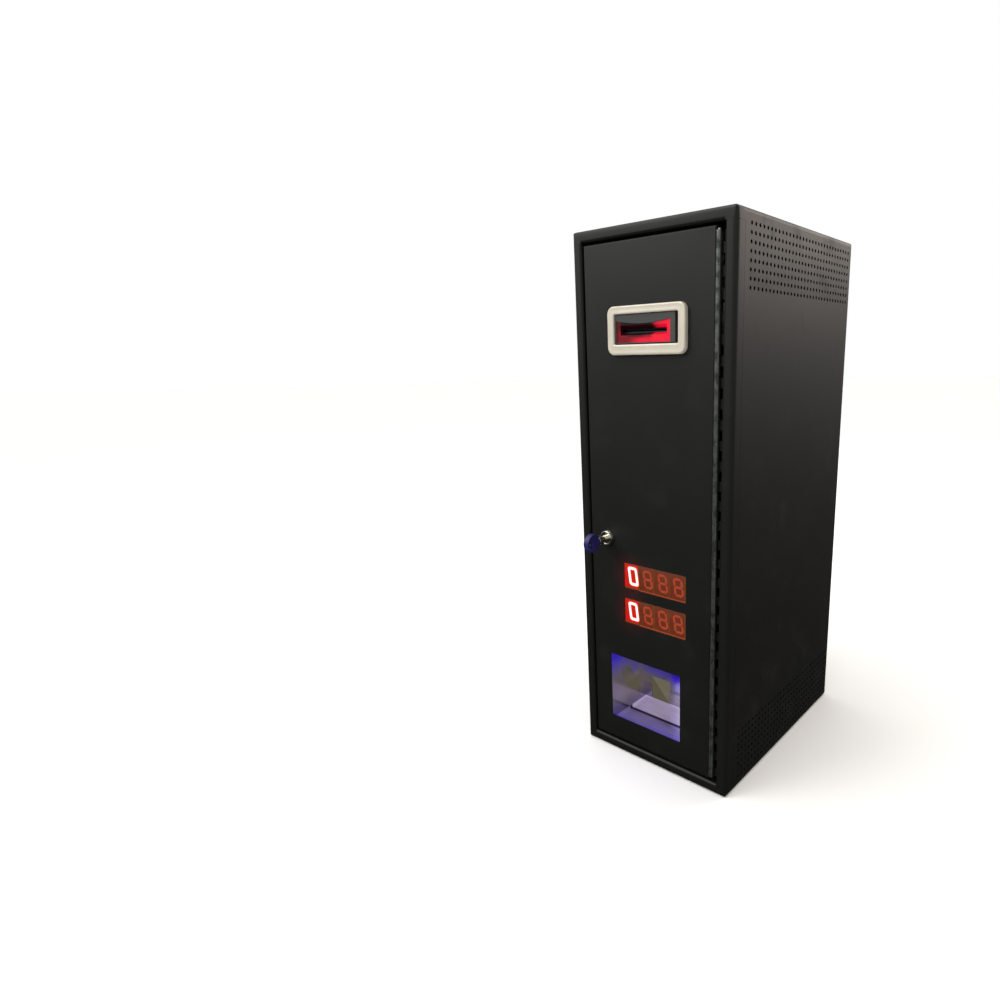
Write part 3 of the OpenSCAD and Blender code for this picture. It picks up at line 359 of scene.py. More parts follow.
def numeral_glow(place):
    halo = near(place, (NUMERAL_X - 3, -138, DISPLAY_Z[0]), (34, 30, 34))
    halo = halo + near(place, (NUMERAL_X - 3, -138, DISPLAY_Z[1]), (34, 30, 34))
    return blend(halo, (0, 0, 0, 1), (0.030, 0.0005, 0.0004, 1))


powder_coat("door_powder_coat", numeral_glow)
print("numerals at", [round(z, 1) for z in DISPLAY_Z])

# %% [markdown]
# ## Moulded plastics
#
# The bill head, the hopper, the sockets and the key bow are injection moulded. The mould is
# spark eroded, which leaves a fine even grain, and thick places cool with slightly different
# gloss. One recipe serves them all, with a colour, a roughness and a depth of grain each.


# %% Mix the plastics
def moulded(name, dark, light, rough, grain=0.03, coat=0.0):
    place = begin(name)
    flow = cloud(place, 26.0, 3.0, (1, 1, 0.35))
    sparks = cloud(place, 2100.0, 2.0)
    scuffs = band(cloud(place, 90.0, 5.0, (1, 6, 1)), 0.60, 0.74)
    settle(place, {
        "Base Color": blend(flow * 0.8 + scuffs * 0.2, tint(*dark), tint(*light)),
        "Roughness": rough + 0.10 * flow + 0.10 * scuffs,
        "Normal": relief(sparks, grain, 0.5),
        "Coat Weight": coat,
    })


moulded("validator_black", (20, 20, 22), (30, 30, 32), 0.46)
moulded("hopper_black", (30, 31, 33), (42, 43, 45), 0.36, 0.05)
moulded("hopper_yellow", (232, 176, 6), (246, 196, 20), 0.30, 0.02, 0.2)
moulded("gear_acetal", (224, 220, 206), (240, 237, 226), 0.34, 0.01)
moulded("pusher_plastic", (206, 206, 200), (222, 222, 216), 0.44)
moulded("socket_black", (22, 22, 23), (32, 32, 34), 0.40)
moulded("rocker_red", (176, 16, 12), (206, 28, 20), 0.26, 0.01, 0.4)
moulded("shroud_grey", (52, 55, 54), (62, 65, 64), 0.44)
moulded("key_plastic", (20, 17, 74), (32, 28, 96), 0.42, 0.05)
moulded("terminal_black", (18, 18, 19), (28, 28, 30), 0.38)
print(len(FINISH), "finishes so far")

# %% [markdown]
# The lid of the validator is grey outside. Under its deck it is painted matt and nearly black,
# as painted shade where the underside lies in the shadow of the lid.

# %% Mix the plastic of the lid
DECK_Z = 499.0
place = begin("validator_grey")
# painted shade: below the deck the colour is darkened and made duller
painted_underside_shade = 1 - band(axis(place, "Z"), DECK_Z * MM, (DECK_Z + 0.6) * MM)
flow = cloud(place, 26.0, 3.0, (1, 1, 0.35))
settle(place, {
    "Base Color": blend(
        painted_underside_shade, blend(flow, tint(84, 86, 90), tint(98, 100, 104)), tint(7, 6, 6)
    ),
    "Roughness": 0.42 + 0.10 * flow + 0.35 * painted_underside_shade,
    "Normal": relief(cloud(place, 2100.0, 2.0), 0.03, 0.5),
})
print("lid grey above", DECK_Z, "mm")

# %% [markdown]
# Rollers and belt are rubber: dull, nearly black, and dusted with paper lint where bills rub.
# The lint is a pale cloud that also roughens the surface.


# %% Mix the rubbers
def rubber(name, dark, light, lint):
    place = begin(name)
    wear = band(cloud(place, 240.0, 4.0), 0.45, 0.75)
    settle(place, {
        "Base Color": blend(wear * lint, tint(*dark), tint(*light)),
        "Roughness": 0.68 + 0.2 * wear,
        "Normal": relief(cloud(place, 1600.0, 3.0), 0.08, 0.6),
    })


rubber("roller_rubber", (48, 48, 50), (128, 126, 120), 0.6)
rubber("belt_rubber", (28, 28, 29), (80, 78, 74), 0.4)
print(len(FINISH), "finishes so far")

# %% [markdown]
# ## Metals
#
# Sheet, shafts and tray are bare metal. Rolling and brushing leave fine parallel lines, so
# the noise is drawn out along one direction. The lines change the roughness more than the
# colour, because that is what makes a highlight run across the grain. A slow cloud stands for
# fingerprints and tarnish.


# %% Mix the metals
def bare_metal(name, dark, light, rough, lines, coat=0.0, depth=0.02):
    place = begin(name)
    strokes = cloud(place, 1.0, 3.0, lines)
    tarnish = band(cloud(place, 30.0, 4.0), 0.35, 0.75)
    settle(place, {
        "Base Color": blend(strokes * 0.5 + tarnish * 0.5, tint(*dark), tint(*light)),
        "Metallic": 1.0,
        "Roughness": rough - 0.06 + 0.16 * strokes + 0.08 * tarnish,
        "Normal": relief(strokes, depth, 0.35),
        "Coat Weight": coat,
    })


ALONG_X = (60, 1600, 1600)
ALONG_Z = (1600, 1600, 60)
bare_metal("zinc_steel", (176, 180, 186), (214, 218, 222), 0.30, ALONG_Z)
bare_metal("steel_shaft", (190, 192, 194), (224, 225, 227), 0.20, (1600, 500, 500))
bare_metal("supply_metal", (168, 171, 175), (202, 205, 208), 0.36, ALONG_X)
bare_metal("motor_can", (158, 160, 164), (196, 198, 202), 0.30, ALONG_X)
bare_metal("brass_spacer", (196, 158, 84), (226, 192, 118), 0.26, ALONG_X)
bare_metal("lock_chrome", (222, 218, 204), (244, 241, 230), 0.10, (500, 500, 500), 0.0, 0.004)
print(len(FINISH), "finishes so far")

# %% [markdown]
# The rim of the bill mouth is cast and then sprayed with silver paint, which holds fine metal
# flakes in a clear binder. It is duller and creamier than bare metal, so only a part of it
# reflects as metal does, and the flakes show as a fine sparkle in the roughness.

# %% Mix the silver paint
place = begin("bezel_silver")
flakes = cloud(place, 2400.0, 2.0)
settle(place, {
    "Base Color": blend(
        cloud(place, 60.0) * 0.6 + flakes * 0.4, tint(196, 188, 172), tint(226, 219, 204)
    ),
    "Metallic": 0.35,
    "Roughness": 0.36 + 0.14 * flakes,
    "Normal": relief(flakes, 0.02, 0.4),
})
print("silver paint mixed")

# %% [markdown]
# The hinge is blackened steel whose knuckles have worn bright. The knuckles of the two leaves
# alternate along the pin; the wear lies in patches drawn out along it, and the rounded barrel
# that rubs is paler than the flat leaf behind it, which is still painted.

# %% Mix the hinge steel
place = begin("hinge_steel")
HINGE_X = 81.0
barrel = 1 - band(axis(place, "X"), (HINGE_X + 1.4) * MM, (HINGE_X + 2.6) * MM)
rub = band(cloud(place, 210.0, 2.0, (1, 1, 0.5)), 0.34, 0.62)
settle(place, {
    "Base Color": blend(barrel * (rub * 0.7 + 0.3), tint(18, 18, 18), tint(124, 129, 126)),
    "Metallic": 0.9 * barrel,
    "Roughness": 0.50 - 0.18 * (barrel * rub) + 0.08 * cloud(place, 1200.0),
    "Normal": relief(cloud(place, 1500.0, 2.0), 0.03, 0.4),
})
print("hinge steel mixed")

# %% [markdown]
# The coin disc is sintered bronze, polished in rings by the coins that slide over it. Its
# rings run round the shaft, so their distance is measured from the shaft's own centre.

# %% Mix the disc bronze
place = begin("disc_bronze")
disc_low, disc_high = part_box("hopper_disc")
across = axis(place, "Y") - (disc_low.y + disc_high.y) / 2
upright = axis(place, "Z") - (disc_low.z + disc_high.z) / 2
radius = across.math("SQRT", across * across + upright * upright)
rings = radius.math("SINE", radius * 5200.0) * 0.5 + 0.5
rubbed = rings * 0.4 + cloud(place, 160.0, 4.0) * 0.6
settle(place, {
    "Base Color": blend(rubbed, tint(150, 112, 54), tint(206, 168, 96)),
    "Metallic": 1.0,
    "Roughness": 0.44 - 0.16 * rubbed,
    "Normal": relief(rings, 0.02, 0.3),
})
print("bronze mixed")

# %% [markdown]
# ## Circuit boards
#
# A board is glass fibre under a green varnish. Copper tracks lie under the varnish and show
# as paler green lines. Bricks that are very long and thin make a fair pattern of tracks, and
# the parts on the board, which stand proud of it, are dark plastic: the finish tells them
# apart by how far they stand from the board.


# %% Mix the board varnish
def circuit_green(name, which, face, side):
    """face is where the board's front lies along the axis, in mm; side is +1 or -1."""
    place = begin(name)
    heading = math.pi / 2 if which == "X" else 0.0
    upright = place.node(
        "ShaderNodeMapping", sockets={"Vector": place, "Rotation": (math.pi / 2, 0.0, heading)}
    )
    tracks = place.node(
        "ShaderNodeTexBrick",
        sockets={
            "Vector": upright,
            "Scale": 260.0,
            "Mortar Size": 0.12,
            "Brick Width": 3.2,
            "Row Height": 0.5,
        },
        out=1,
    )
    board = blend(tracks * 0.8 + cloud(place, 70.0) * 0.2, tint(14, 66, 38), tint(34, 104, 62))
    proud = band((axis(place, which) - face * MM) * side, 0.2 * MM, 0.5 * MM)
    settle(place, {
        "Base Color": blend(proud, board, tint(26, 26, 28)),
        "Roughness": 0.24 + 0.22 * proud + 0.06 * cloud(place, 900.0),
        "Normal": relief(tracks, 0.06, 0.5),
        "Coat Weight": 0.3,
    })


CONTROL_FACE_X = 88.9
DISPLAY_BACK_Y = -128.4
PAST_ALL_PARTS = 60000.0
circuit_green("circuit_green", "X", CONTROL_FACE_X, -1)
circuit_green("display_green", "Y", DISPLAY_BACK_Y, 1)
circuit_green("sensor_green", "Z", PAST_ALL_PARTS, 1)
print("board varnish mixed")

# %% [markdown]
# ## Stainless tray and its blue light
#
# The coin tray is brushed stainless steel. A strip of blue lights hangs from its ceiling, and
# the steel smears that blue along its brushing. The strip itself lights the tray; the colour
# it leaves near the ceiling, on the ramp and along the front edge is painted light added to
# the steel, so it also shows in a viewer that has no lamps. A pale warm painted light lies on
# the walls, weaker in the left corner and low down, and the crease where the ramp meets the
# floor is painted dark as painted shade. Only steel that faces the middle of the tray gets
# the painted light, as the outside of the box stays dark.

# %% Mix the tray steel
place = begin("tray_stainless")
strokes = cloud(place, 1.0, 3.0, (45, 1500, 1500))
smear = cloud(place, 38.0, 3.0)
tray_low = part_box("coin_tray")[0] / MM
TRAY_MIDDLE = (-11 * MM, -98 * MM, 86 * MM)
TRAY_FLOOR = tray_low.z + 5
BEND_Y = -100.0
deep, rise = axis(place, "Y"), axis(place, "Z")
on_floor = 1 - band(rise, (TRAY_FLOOR + 3.2) * MM, (TRAY_FLOOR + 4.5) * MM)
behind = band(deep, (BEND_Y - 0.6) * MM, (BEND_Y + 0.6) * MM)
front_edge = 1 - band(deep, (tray_low.y + 1) * MM, (tray_low.y + 19) * MM)
off_bend = deep - (BEND_Y - 0.8) * MM
# painted shade: a dark line on the floor where the ramp bends down to it
painted_crease_shade = on_floor * (1 - band(off_bend.math("ABSOLUTE", off_bend), 1.0 * MM, 3.4 * MM))
# the left corner of the wall gets a weaker, cooler painted light
corner = 1 - band(axis(place, "X"), (tray_low.x + 1.5) * MM, (tray_low.x + 5) * MM)
# violet painted light near the strip and on the upper walls
painted_violet_light = 1.6 * near(place, (-6, -70, 76), (20, 14, 30))
painted_violet_light = painted_violet_light + 0.8 * near(place, (-40, -70, 84), (46, 10, 20))
painted_violet_light = painted_violet_light + 0.45 * near(place, (-62, -132, 120), (22, 34, 34))
painted_violet_light = painted_violet_light + 1.4 * near(place, (-66, -93, 86), (8, 13, 15))
painted_violet_light = painted_violet_light + 0.5 * band(rise, 84 * MM, 122 * MM)
# painted light on the walls: pale and warm, weaker low down and in the corner, with violet spots
painted_wall_light = blend(smear, (0.075, 0.064, 0.038, 1), (0.135, 0.115, 0.090, 1))
painted_wall_light = blend(corner, painted_wall_light, (0.055, 0.044, 0.070, 1))
painted_wall_light = blend(0.8 * (1 - band(rise, 42 * MM, 62 * MM)), painted_wall_light, (0.012, 0.008, 0.030, 1))
painted_wall_light = blend(painted_violet_light.math("MINIMUM", painted_violet_light, 1.0), painted_wall_light, (0.024, 0.008, 0.500, 1))
# painted light on the floor and ramp: lilac past the bend, blue along the front edge; painted shade in
# the crease
painted_floor_light = blend(behind, (0.165, 0.125, 0.280, 1), (0.450, 0.370, 0.590, 1))
painted_floor_light = blend(front_edge * (0.5 + smear), painted_floor_light, (0.080, 0.035, 0.900, 1))
painted_floor_light = blend(painted_crease_shade * 0.95, painted_floor_light, (0.010, 0.006, 0.020, 1))
inward = place.vector("SUBTRACT", TRAY_MIDDLE, place)
normal = Wire(place.socket.node.outputs["Normal"])
faces_in = place.vector("DOT_PRODUCT", inward, normal, out=1)
inside = band(faces_in, 0.0, 3 * MM)
settle(place, {
    # the steel's own colour is painted dark in the crease too, as painted shade
    "Base Color": blend(
        painted_crease_shade,
        blend(strokes * 0.6 + smear * 0.4, tint(118, 114, 130), tint(172, 168, 180)),
        tint(34, 30, 44),
    ),
    "Metallic": 1.0,
    "Roughness": 0.09 + 0.08 * strokes + 0.06 * smear,
    "Normal": relief(strokes, 0.01, 0.25),
    "Emission Color": blend(
        inside * (0.40 + 0.60 * strokes), (0, 0, 0, 1), blend(on_floor, painted_wall_light, painted_floor_light)
    ),
    "Emission Strength": 0.8,
})
print("tray floor at", round(TRAY_FLOOR, 1), "mm")

# %% [markdown]
# The strip is a white circuit strip with blue-white lamps along its underside, so its lower
# face is brighter and bluer than its sides.

# %% Mix the light strip
place = begin("led_blue")
dots = 1 - band(axis(place, "Z"), 129.2 * MM, 129.6 * MM)
settle(place, {
    "Base Color": blend(dots, tint(210, 214, 226), tint(120, 130, 250)),
    "Roughness": 0.30 + 0.1 * cloud(place, 900.0),
    "Emission Color": blend(dots, (0.20, 0.20, 0.45, 1), (0.45, 0.40, 1.0, 1)),
    "Emission Strength": 5.0,
})
print("light strip mixed")

# %% [markdown]
# The chute is plain rolled steel. Its lower end opens into the lit tray, so a little of that
# light is left on it there.

# %% Mix the chute steel
place = begin("chute_steel")
reach = 1 - band(axis(place, "Z"), 66 * MM, 78 * MM)
grey = cloud(place, 60.0, 3.0)
settle(place, {
    "Base Color": blend(grey, tint(150, 150, 150), tint(196, 197, 199)),
    "Metallic": 1.0,
    "Roughness": 0.34 + 0.12 * grey,
    "Normal": relief(cloud(place, 1.0, 3.0, ALONG_Z), 0.02, 0.3),
    "Emission Color": blend(reach, (0, 0, 0, 1), (0.110, 0.098, 0.062, 1)),
    "Emission Strength": 0.8,
})
print("chute steel mixed")

# %% [markdown]
# ## The red mouth
#
# Bills go in through a clear red guide that is lit from inside. Its right end and lower lip
# carry the light, its left end is dim, and the slot under the visor is painted nearly black as
# painted shade. Real lit plastic would need a lamp inside and many light paths; here the glow
# is painted by place on the part.

# %% Mix the lens red
lens_low, lens_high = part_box("mouth_lens")
LENS_MIDDLE = (lens_low.x + lens_high.x) / 2
place = begin("lens_red")
along = axis(place, "X") - LENS_MIDDLE
height = axis(place, "Z")
streak = cloud(place, 120.0, 3.0, (1, 1, 2.2))
lip = 1 - band(height, 487.5 * MM, 492.5 * MM)
right = band(along, 8 * MM, 13 * MM)
left_dim = band(along, -22 * MM, -2 * MM)
# painted shade: under the visor, above the slot, colour and glow are darkened
painted_visor_shadow = near(place, (LENS_MIDDLE / MM - 9, -138, 501), (32, 30, 15))
funnel = band(axis(place, "Y"), lens_low.y + 0.2 * MM, lens_low.y + 1.0 * MM)
patch = streak * 1.4 * near(place, (LENS_MIDDLE / MM + 18, -138, 497.5), (16, 18, 9))
power = 0.16 + 0.72 * (right + lip * (1 - right) * left_dim)
power = power * (1 - 0.97 * band(painted_visor_shadow, 0.02, 0.34)) * (1 - 0.65 * patch)
power = power * (1 - 0.96 * (funnel * (1 - right)))
power = power * (0.70 + 0.5 * streak)
settle(place, {
    "Base Color": blend(
        band(painted_visor_shadow, 0.0, 0.4), blend(right, tint(70, 4, 12), tint(120, 4, 20)), tint(10, 2, 3)
    ),
    "Roughness": 0.30 + 0.14 * streak,
    "Specular IOR Level": 0.3,
    "Emission Color": blend(power, (0.010, 0.0, 0.001, 1), (1.0, 0.004, 0.040, 1)),
    "Emission Strength": 0.85,
})
print(f"lens centred {LENS_MIDDLE / MM:.1f} mm from the middle")

# %% [markdown]
# ## The display glass
#
# Each display is a brown-orange filter over four numeral cells. A lit cell floods its filter
# with red. The filter glows a little everywhere, and more along its lower edge, where the
# light from the numerals collects. The unlit segments carry a faint painted glow as well.

# %% Mix the display colours
place = begin("display_red")
speck = cloud(place, 300.0, 3.0)
settle(place, {
    "Base Color": blend(speck, tint(92, 46, 12), tint(108, 52, 16)),
    "Roughness": 0.20 + 0.1 * speck,
    "Coat Weight": 0.3,
    "Emission Color": blend(speck, tint(44, 20, 4), tint(56, 24, 6)),
    "Emission Strength": 1.0,
})


def glowing(name, base, dim, bright, strength, scale=220.0):
    """A plastic with a painted glow that wavers a little from place to place."""
    place = begin(name)
    waver = cloud(place, scale, 2.0)
    settle(place, {
        "Base Color": blend(waver, tint(*base), tint(*[min(255, c + 12) for c in base])),
        "Roughness": 0.25 + 0.15 * waver,
        "Emission Color": blend(waver, tint(*dim), tint(*bright)),
        "Emission Strength": strength,
    })


glowing("cell_amber", (60, 22, 8), (70, 24, 3), (86, 32, 6), 1.0)
glowing("ghost_segment", (100, 34, 18), (124, 38, 17), (138, 46, 24), 1.0)
glowing("amber_edge", (100, 38, 10), (104, 38, 10), (128, 46, 14), 1.0)
glowing("cell_lit", (50, 6, 4), (186, 13, 5), (202, 20, 9), 1.0)
glowing("segment_halo", (120, 20, 14), (250, 56, 38), (255, 72, 50), 1.0)
glowing("segment_lit", (200, 180, 170), (255, 226, 214), (255, 236, 226), 1.0)
print(len(FINISH), "finishes in all")

# %% [markdown]
# ## Finishing the CAD parts
#
# Each CAD part takes the finish of its slot. Its mesh is loose triangles, so a short chain of
# modifiers joins them into whole flat faces and breaks the sharp edges, because no real edge
# is a perfect corner: a thin line of light along it is what tells the eye that it is bent
# steel or moulded plastic. The perforated side panels are left alone, as a softened rim on
# every hole would not show.

# %% Give every part its finish
OWN_FINISH = {
    "door_panel": "door_powder_coat",
    "display_board": "display_green",
    "coin_chute": "chute_steel",
}
for name, part in sorted(nodes.items()):
    slot = part.material_slots[0].material.name.split(".")[0]
    chosen = OWN_FINISH.get(name, slot)
    if chosen not in FINISH:
        raise ValueError(f"no finish was made for {name}: {chosen}")
    part.material_slots[0].material = FINISH[chosen]
print("finished", len(nodes), "parts")

# %% Break the edges
EDGE_PARTS = {
    0.25: ("mouth_lens", "validator_bracket"),
    0.30: ("mouth_shroud", "lock_plug", "coin_chute", "display_upper", "display_lower"),
    0.35: (
        "frame_left_stile", "frame_right_stile", "frame_top_rail", "key_shaft",
        "switch_rocker",
    ),
    0.40: ("hopper_base", "validator_lower", "switch_housing"),
    0.45: ("door_panel",),
    0.50: (
        "coin_tray", "hopper_middle", "validator_lid", "stacker_frame", "bill_pusher",
        "power_inlet",
    ),
    0.60: ("lock_barrel", "hopper_motor", "feed_motor", "power_supply"),
    0.80: ("bill_box",),
    0.90: ("hopper_bowl", "hopper_cover"),
    1.40: ("key_head",),
}
EDGE = {name: width for width, names in EDGE_PARTS.items() for name in names}
SHARP = math.radians(35)
FLAT_ENOUGH = math.radians(0.6)


def shading_tree():
    """Joins loose triangles and marks only real corners as sharp."""
    tree = bpy.data.node_groups.new("crisp_shading", "GeometryNodeTree")
    tree.interface.new_socket("Part", in_out="INPUT", socket_type="NodeSocketGeometry")
    tree.interface.new_socket("Part", in_out="OUTPUT", socket_type="NodeSocketGeometry")
    given = Wire(tree.nodes.new("NodeGroupInput").outputs[0])
    joined = given.node(
        "GeometryNodeMergeByDistance", sockets={"Geometry": given, "Distance": 0.001 * MM}
    )
    plain = given.node(
        "GeometryNodeRemoveAttribute", sockets={"Geometry": joined, "Name": "custom_normal"}
    )
    soft = given.node(
        "GeometryNodeSetShadeSmooth", {"domain": "FACE"}, {"Geometry": plain, "Shade Smooth": True}
    )
    angle = Wire(tree.nodes.new("GeometryNodeInputMeshEdgeAngle").outputs[0])
    corner = given.node(
        "FunctionNodeCompare", {"operation": "GREATER_THAN"}, {"A": angle, "B": SHARP}
    )
    crisp = given.node(
        "GeometryNodeSetShadeSmooth",
        {"domain": "EDGE"},
        {"Geometry": soft, "Selection": corner, "Shade Smooth": False},
    )
    done = tree.nodes.new("NodeGroupOutput")
    tree.links.new(crisp.socket, done.inputs[0])
    return tree


crisp = shading_tree()
for name, width in EDGE.items():
    part = nodes[name]
    part.modifiers.new("crisp", "NODES").node_group = crisp
    flat = part.modifiers.new("flat", "DECIMATE")
    flat.decimate_type = "DISSOLVE"
    flat.angle_limit = FLAT_ENOUGH
    edge = part.modifiers.new("edge", "BEVEL")
    edge.width = width * MM
    edge.segments = 2
    edge.limit_method = "ANGLE"
    edge.angle_limit = SHARP
    edge.harden_normals = True
    edge.use_clamp_overlap = True
print("softened", len(EDGE), "parts")

# %% [markdown]
# ## Adding pieces
#
# A new piece is a mesh in its final place, with one finish, that rides on a body of the CAD
# model. The helpers below turn a bmesh into such a piece, and make the two shapes that small
# parts are built from: a block with rounded edges, and a part turned on a lathe.


# %% Make pieces from meshes
def piece(name, shape, body, finish):
    """Turns a bmesh into a finished piece that rides on a body."""
    bmesh.ops.remove_doubles(shape, verts=shape.verts, dist=0.001 * MM)
    bmesh.ops.recalc_face_normals(shape, faces=shape.faces)
    mesh = bpy.data.meshes.new(name)
    shape.to_mesh(mesh)
    shape.free()
    return dress(name, mesh, body, finish)


def dress(name, mesh, body, finish):
    """Gives a mesh its shading and finish, and sets it on its body."""
    mesh.materials.clear()
    mesh.materials.append(FINISH[finish])
    mesh.shade_smooth()
    mesh.set_sharp_from_angle(angle=SHARP)
    made = bpy.data.objects.new(name, mesh)
    bpy.context.scene.collection.objects.link(made)
    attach(made, body)
    return made


def block(shape, low, high, edge=0.3):
    """A box from low to high with rounded edges, all in millimetres."""
    size = [h - l for l, h in zip(low, high)]
    middle = [(l + h) / 2 for l, h in zip(low, high)]
    grown = Matrix.Translation(Vector(middle) * MM) @ Matrix.Diagonal((*[s * MM for s in size], 1))
    made = bmesh.ops.create_cube(shape, size=1.0, matrix=grown)
    edges = {e for v in made["verts"] for e in v.link_edges}
    bmesh.ops.bevel(
        shape, geom=list(edges), offset=edge * MM, segments=2, profile=0.5, affect="EDGES"
    )


def turned(shape, profile, turn, sides=24):
    """A lathe-turned part: profile is (along, radius) in mm, turn places its axis Z."""
    rows = []
    for along, radius in profile:
        if radius <= 0:
            rows.append([shape.verts.new(turn @ Vector((0, 0, along * MM)))])
            continue
        row = []
        for i in range(sides):
            a = 2 * math.pi * i / sides
            spot = Vector((radius * math.cos(a), radius * math.sin(a), along)) * MM
            row.append(shape.verts.new(turn @ spot))
        rows.append(row)
    for below, above in zip(rows, rows[1:]):
        for i in range(sides):
            ring = [below[i % len(below)], below[(i + 1) % len(below)]]
            ring += [above[(i + 1) % len(above)], above[i % len(above)]]
            corners = list(dict.fromkeys(ring))
            if len(corners) > 2:
                shape.faces.new(corners)


def one_block(low, high, edge=0.3):
    """A new bmesh that holds one rounded block."""
    shape = bmesh.new()
    block(shape, low, high, edge)
    return shape


def one_turned(profile, direction, sides):
    """A new bmesh with one turned part that stands at the origin along a direction."""
    shape = bmesh.new()
    turned(shape, profile, Vector(direction).to_track_quat("Z", "Y").to_matrix().to_4x4(), sides)
    return shape


def close_loops(shape, loops):
    """Faces between neighbouring loops of points, and from the last loop to the first."""
    for first, second in zip(loops, loops[1:] + loops[:1]):
        for i in range(len(first)):
            j = (i + 1) % len(first)
            shape.faces.new((first[i], first[j], second[j], second[i]))


print("piece helpers ready")

# %% [markdown]
# ## Things that repeat
#
# Holes, pins, ribs and numerals repeat at a fixed step. A small Geometry Nodes tree lays one
# source part on a line of points and that line on a second line, which gives a row or a
# grid. The tree ends by realising the copies and setting the finish, then the result is made
# a plain mesh and the tree is taken off, so that nothing live is left behind.


# %% Build the repeating tree
def repeat_tree():
    tree = bpy.data.node_groups.new("rows_of_parts", "GeometryNodeTree")
    sizes = [
        ("Part", "NodeSocketObject"),
        ("Finish", "NodeSocketMaterial"),
        ("Start", "NodeSocketVector"),
        ("Count", "NodeSocketInt"),
        ("Step", "NodeSocketVector"),
        ("Rows", "NodeSocketInt"),
        ("Row Step", "NodeSocketVector"),
    ]
    for name, kind in sizes:
        tree.interface.new_socket(name, in_out="INPUT", socket_type=kind)
    tree.interface.new_socket("Parts", in_out="OUTPUT", socket_type="NodeSocketGeometry")
    given = tree.nodes.new("NodeGroupInput")
    part, finish, start, count, step, rows, row_step = [
        Wire(given.outputs[name]) for name, _ in sizes
    ]
    source = part.node("GeometryNodeObjectInfo", sockets={"Object": part}, out=-1)
    line = part.node(
        "GeometryNodeMeshLine",
        {"mode": "OFFSET"},
        {"Count": count, "Start Location": start, "Offset": step},
    )
    row = part.node("GeometryNodeInstanceOnPoints", sockets={"Points": line, "Instance": source})
    rise = part.node(
        "GeometryNodeMeshLine", {"mode": "OFFSET"}, {"Count": rows, "Offset": row_step}
    )
    grid = part.node("GeometryNodeInstanceOnPoints", sockets={"Points": rise, "Instance": row})
    real = part.node("GeometryNodeRealizeInstances", sockets={"Geometry": grid})
    coated = part.node(
        "GeometryNodeSetMaterial", sockets={"Geometry": real, "Material": finish}
    )
    tree.links.new(coated.socket, tree.nodes.new("NodeGroupOutput").inputs[0])
    return tree


ROWS = repeat_tree()


def repeated(name, source, body, finish, start, step, count, row_step=(0, 0, 0), rows=1):
    """Lays copies of a small bmesh at steps in mm, and makes them one plain piece."""
    bmesh.ops.recalc_face_normals(source, faces=source.faces)
    mesh = bpy.data.meshes.new(name + "_source")
    source.to_mesh(mesh)
    source.free()
    part = bpy.data.objects.new(name + "_source", mesh)
    carrier = bpy.data.objects.new(name + "_rows", bpy.data.meshes.new(name))
    for made in (part, carrier):
        bpy.context.scene.collection.objects.link(made)
    rows_modifier = carrier.modifiers.new("rows", "NODES")
    rows_modifier.node_group = ROWS
    inputs = {
        "Part": part,
        "Finish": FINISH[finish],
        "Start": Vector(start) * MM,
        "Count": count,
        "Step": Vector(step) * MM,
        "Rows": rows,
        "Row Step": Vector(row_step) * MM,
    }
    for item in ROWS.interface.items_tree:
        if item.in_out == "INPUT":
            rows_modifier[item.identifier] = inputs[item.name]
    graph = bpy.context.evaluated_depsgraph_get()
    result = bpy.data.meshes.new_from_object(carrier.evaluated_get(graph), depsgraph=graph)
    result.name = name
    for made in (carrier, part):
        bpy.data.objects.remove(made)
    return dress(name, result, body, finish)


print("repeating tree has", len(ROWS.nodes), "nodes")

# %% [markdown]
# ## The rim of the bill mouth
#
# The mouth has a cast silver rim: a broad frame with a dished face between two rounded
# ridges, deeper below than above. A bevelled box would not give the dish, so the rim is a
# sweep: one cross-section runs round the gap between an outer and an inner rounded rectangle.

# %% Sweep the rim
ARC_STEPS = 9


def rounded_outline(low, high, radius):
    """Corner arcs of a rounded rectangle in X and Z, anticlockwise, in mm."""
    corners = [
        (high[0] - radius, high[1] - radius, 0),
        (low[0] + radius, high[1] - radius, 90),
        (low[0] + radius, low[1] + radius, 180),
        (high[0] - radius, low[1] + radius, 270),
    ]
    outline = []
    for x, z, begin_angle in corners:
        for i in range(ARC_STEPS):
            a = math.radians(begin_angle + 90 * i / (ARC_STEPS - 1))
            outline.append((x + radius * math.cos(a), z + radius * math.sin(a)))
    return outline


rim_low, rim_high = (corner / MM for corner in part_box("mouth_bezel"))
outer = rounded_outline((rim_low.x, rim_low.z), (rim_high.x, rim_high.z), 8.0)
RIM_CENTRE = (rim_low.x + rim_high.x) / 2
OPENING = ((RIM_CENTRE - 40.25, 482.85), (RIM_CENTRE + 40.25, 513.15))
inner = rounded_outline(*OPENING, 1.6)
front, back = rim_low.y, rim_high.y
section = [(0.0, back), (0.0, front + 1.9)]
for i in range(1, 6):
    a = math.radians(18 * i)
    section.append((0.16 * (1 - math.cos(a)), front + 1.9 - 1.9 * math.sin(a)))
section += [(0.28, front + 0.12), (0.50, front + 0.22), (0.72, front + 0.12)]
for i in range(0, 6):
    a = math.radians(18 * i)
    section.append((0.86 + 0.14 * math.sin(a), front + 1.5 * (1 - math.cos(a))))
section.append((1.0, back))

shape = bmesh.new()
loops = []
for share, depth in section:
    loop = []
    for (xo, zo), (xi, zi) in zip(outer, inner):
        x, z = xo + share * (xi - xo), zo + share * (zi - zo)
        loop.append(shape.verts.new(Vector((x, depth, z)) * MM))
    loops.append(loop)
close_loops(shape, loops)
rim = piece("mouth_rim", shape, "door", "bezel_silver")
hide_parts("mouth_bezel")
print("rim", len(rim.data.polygons), "faces")

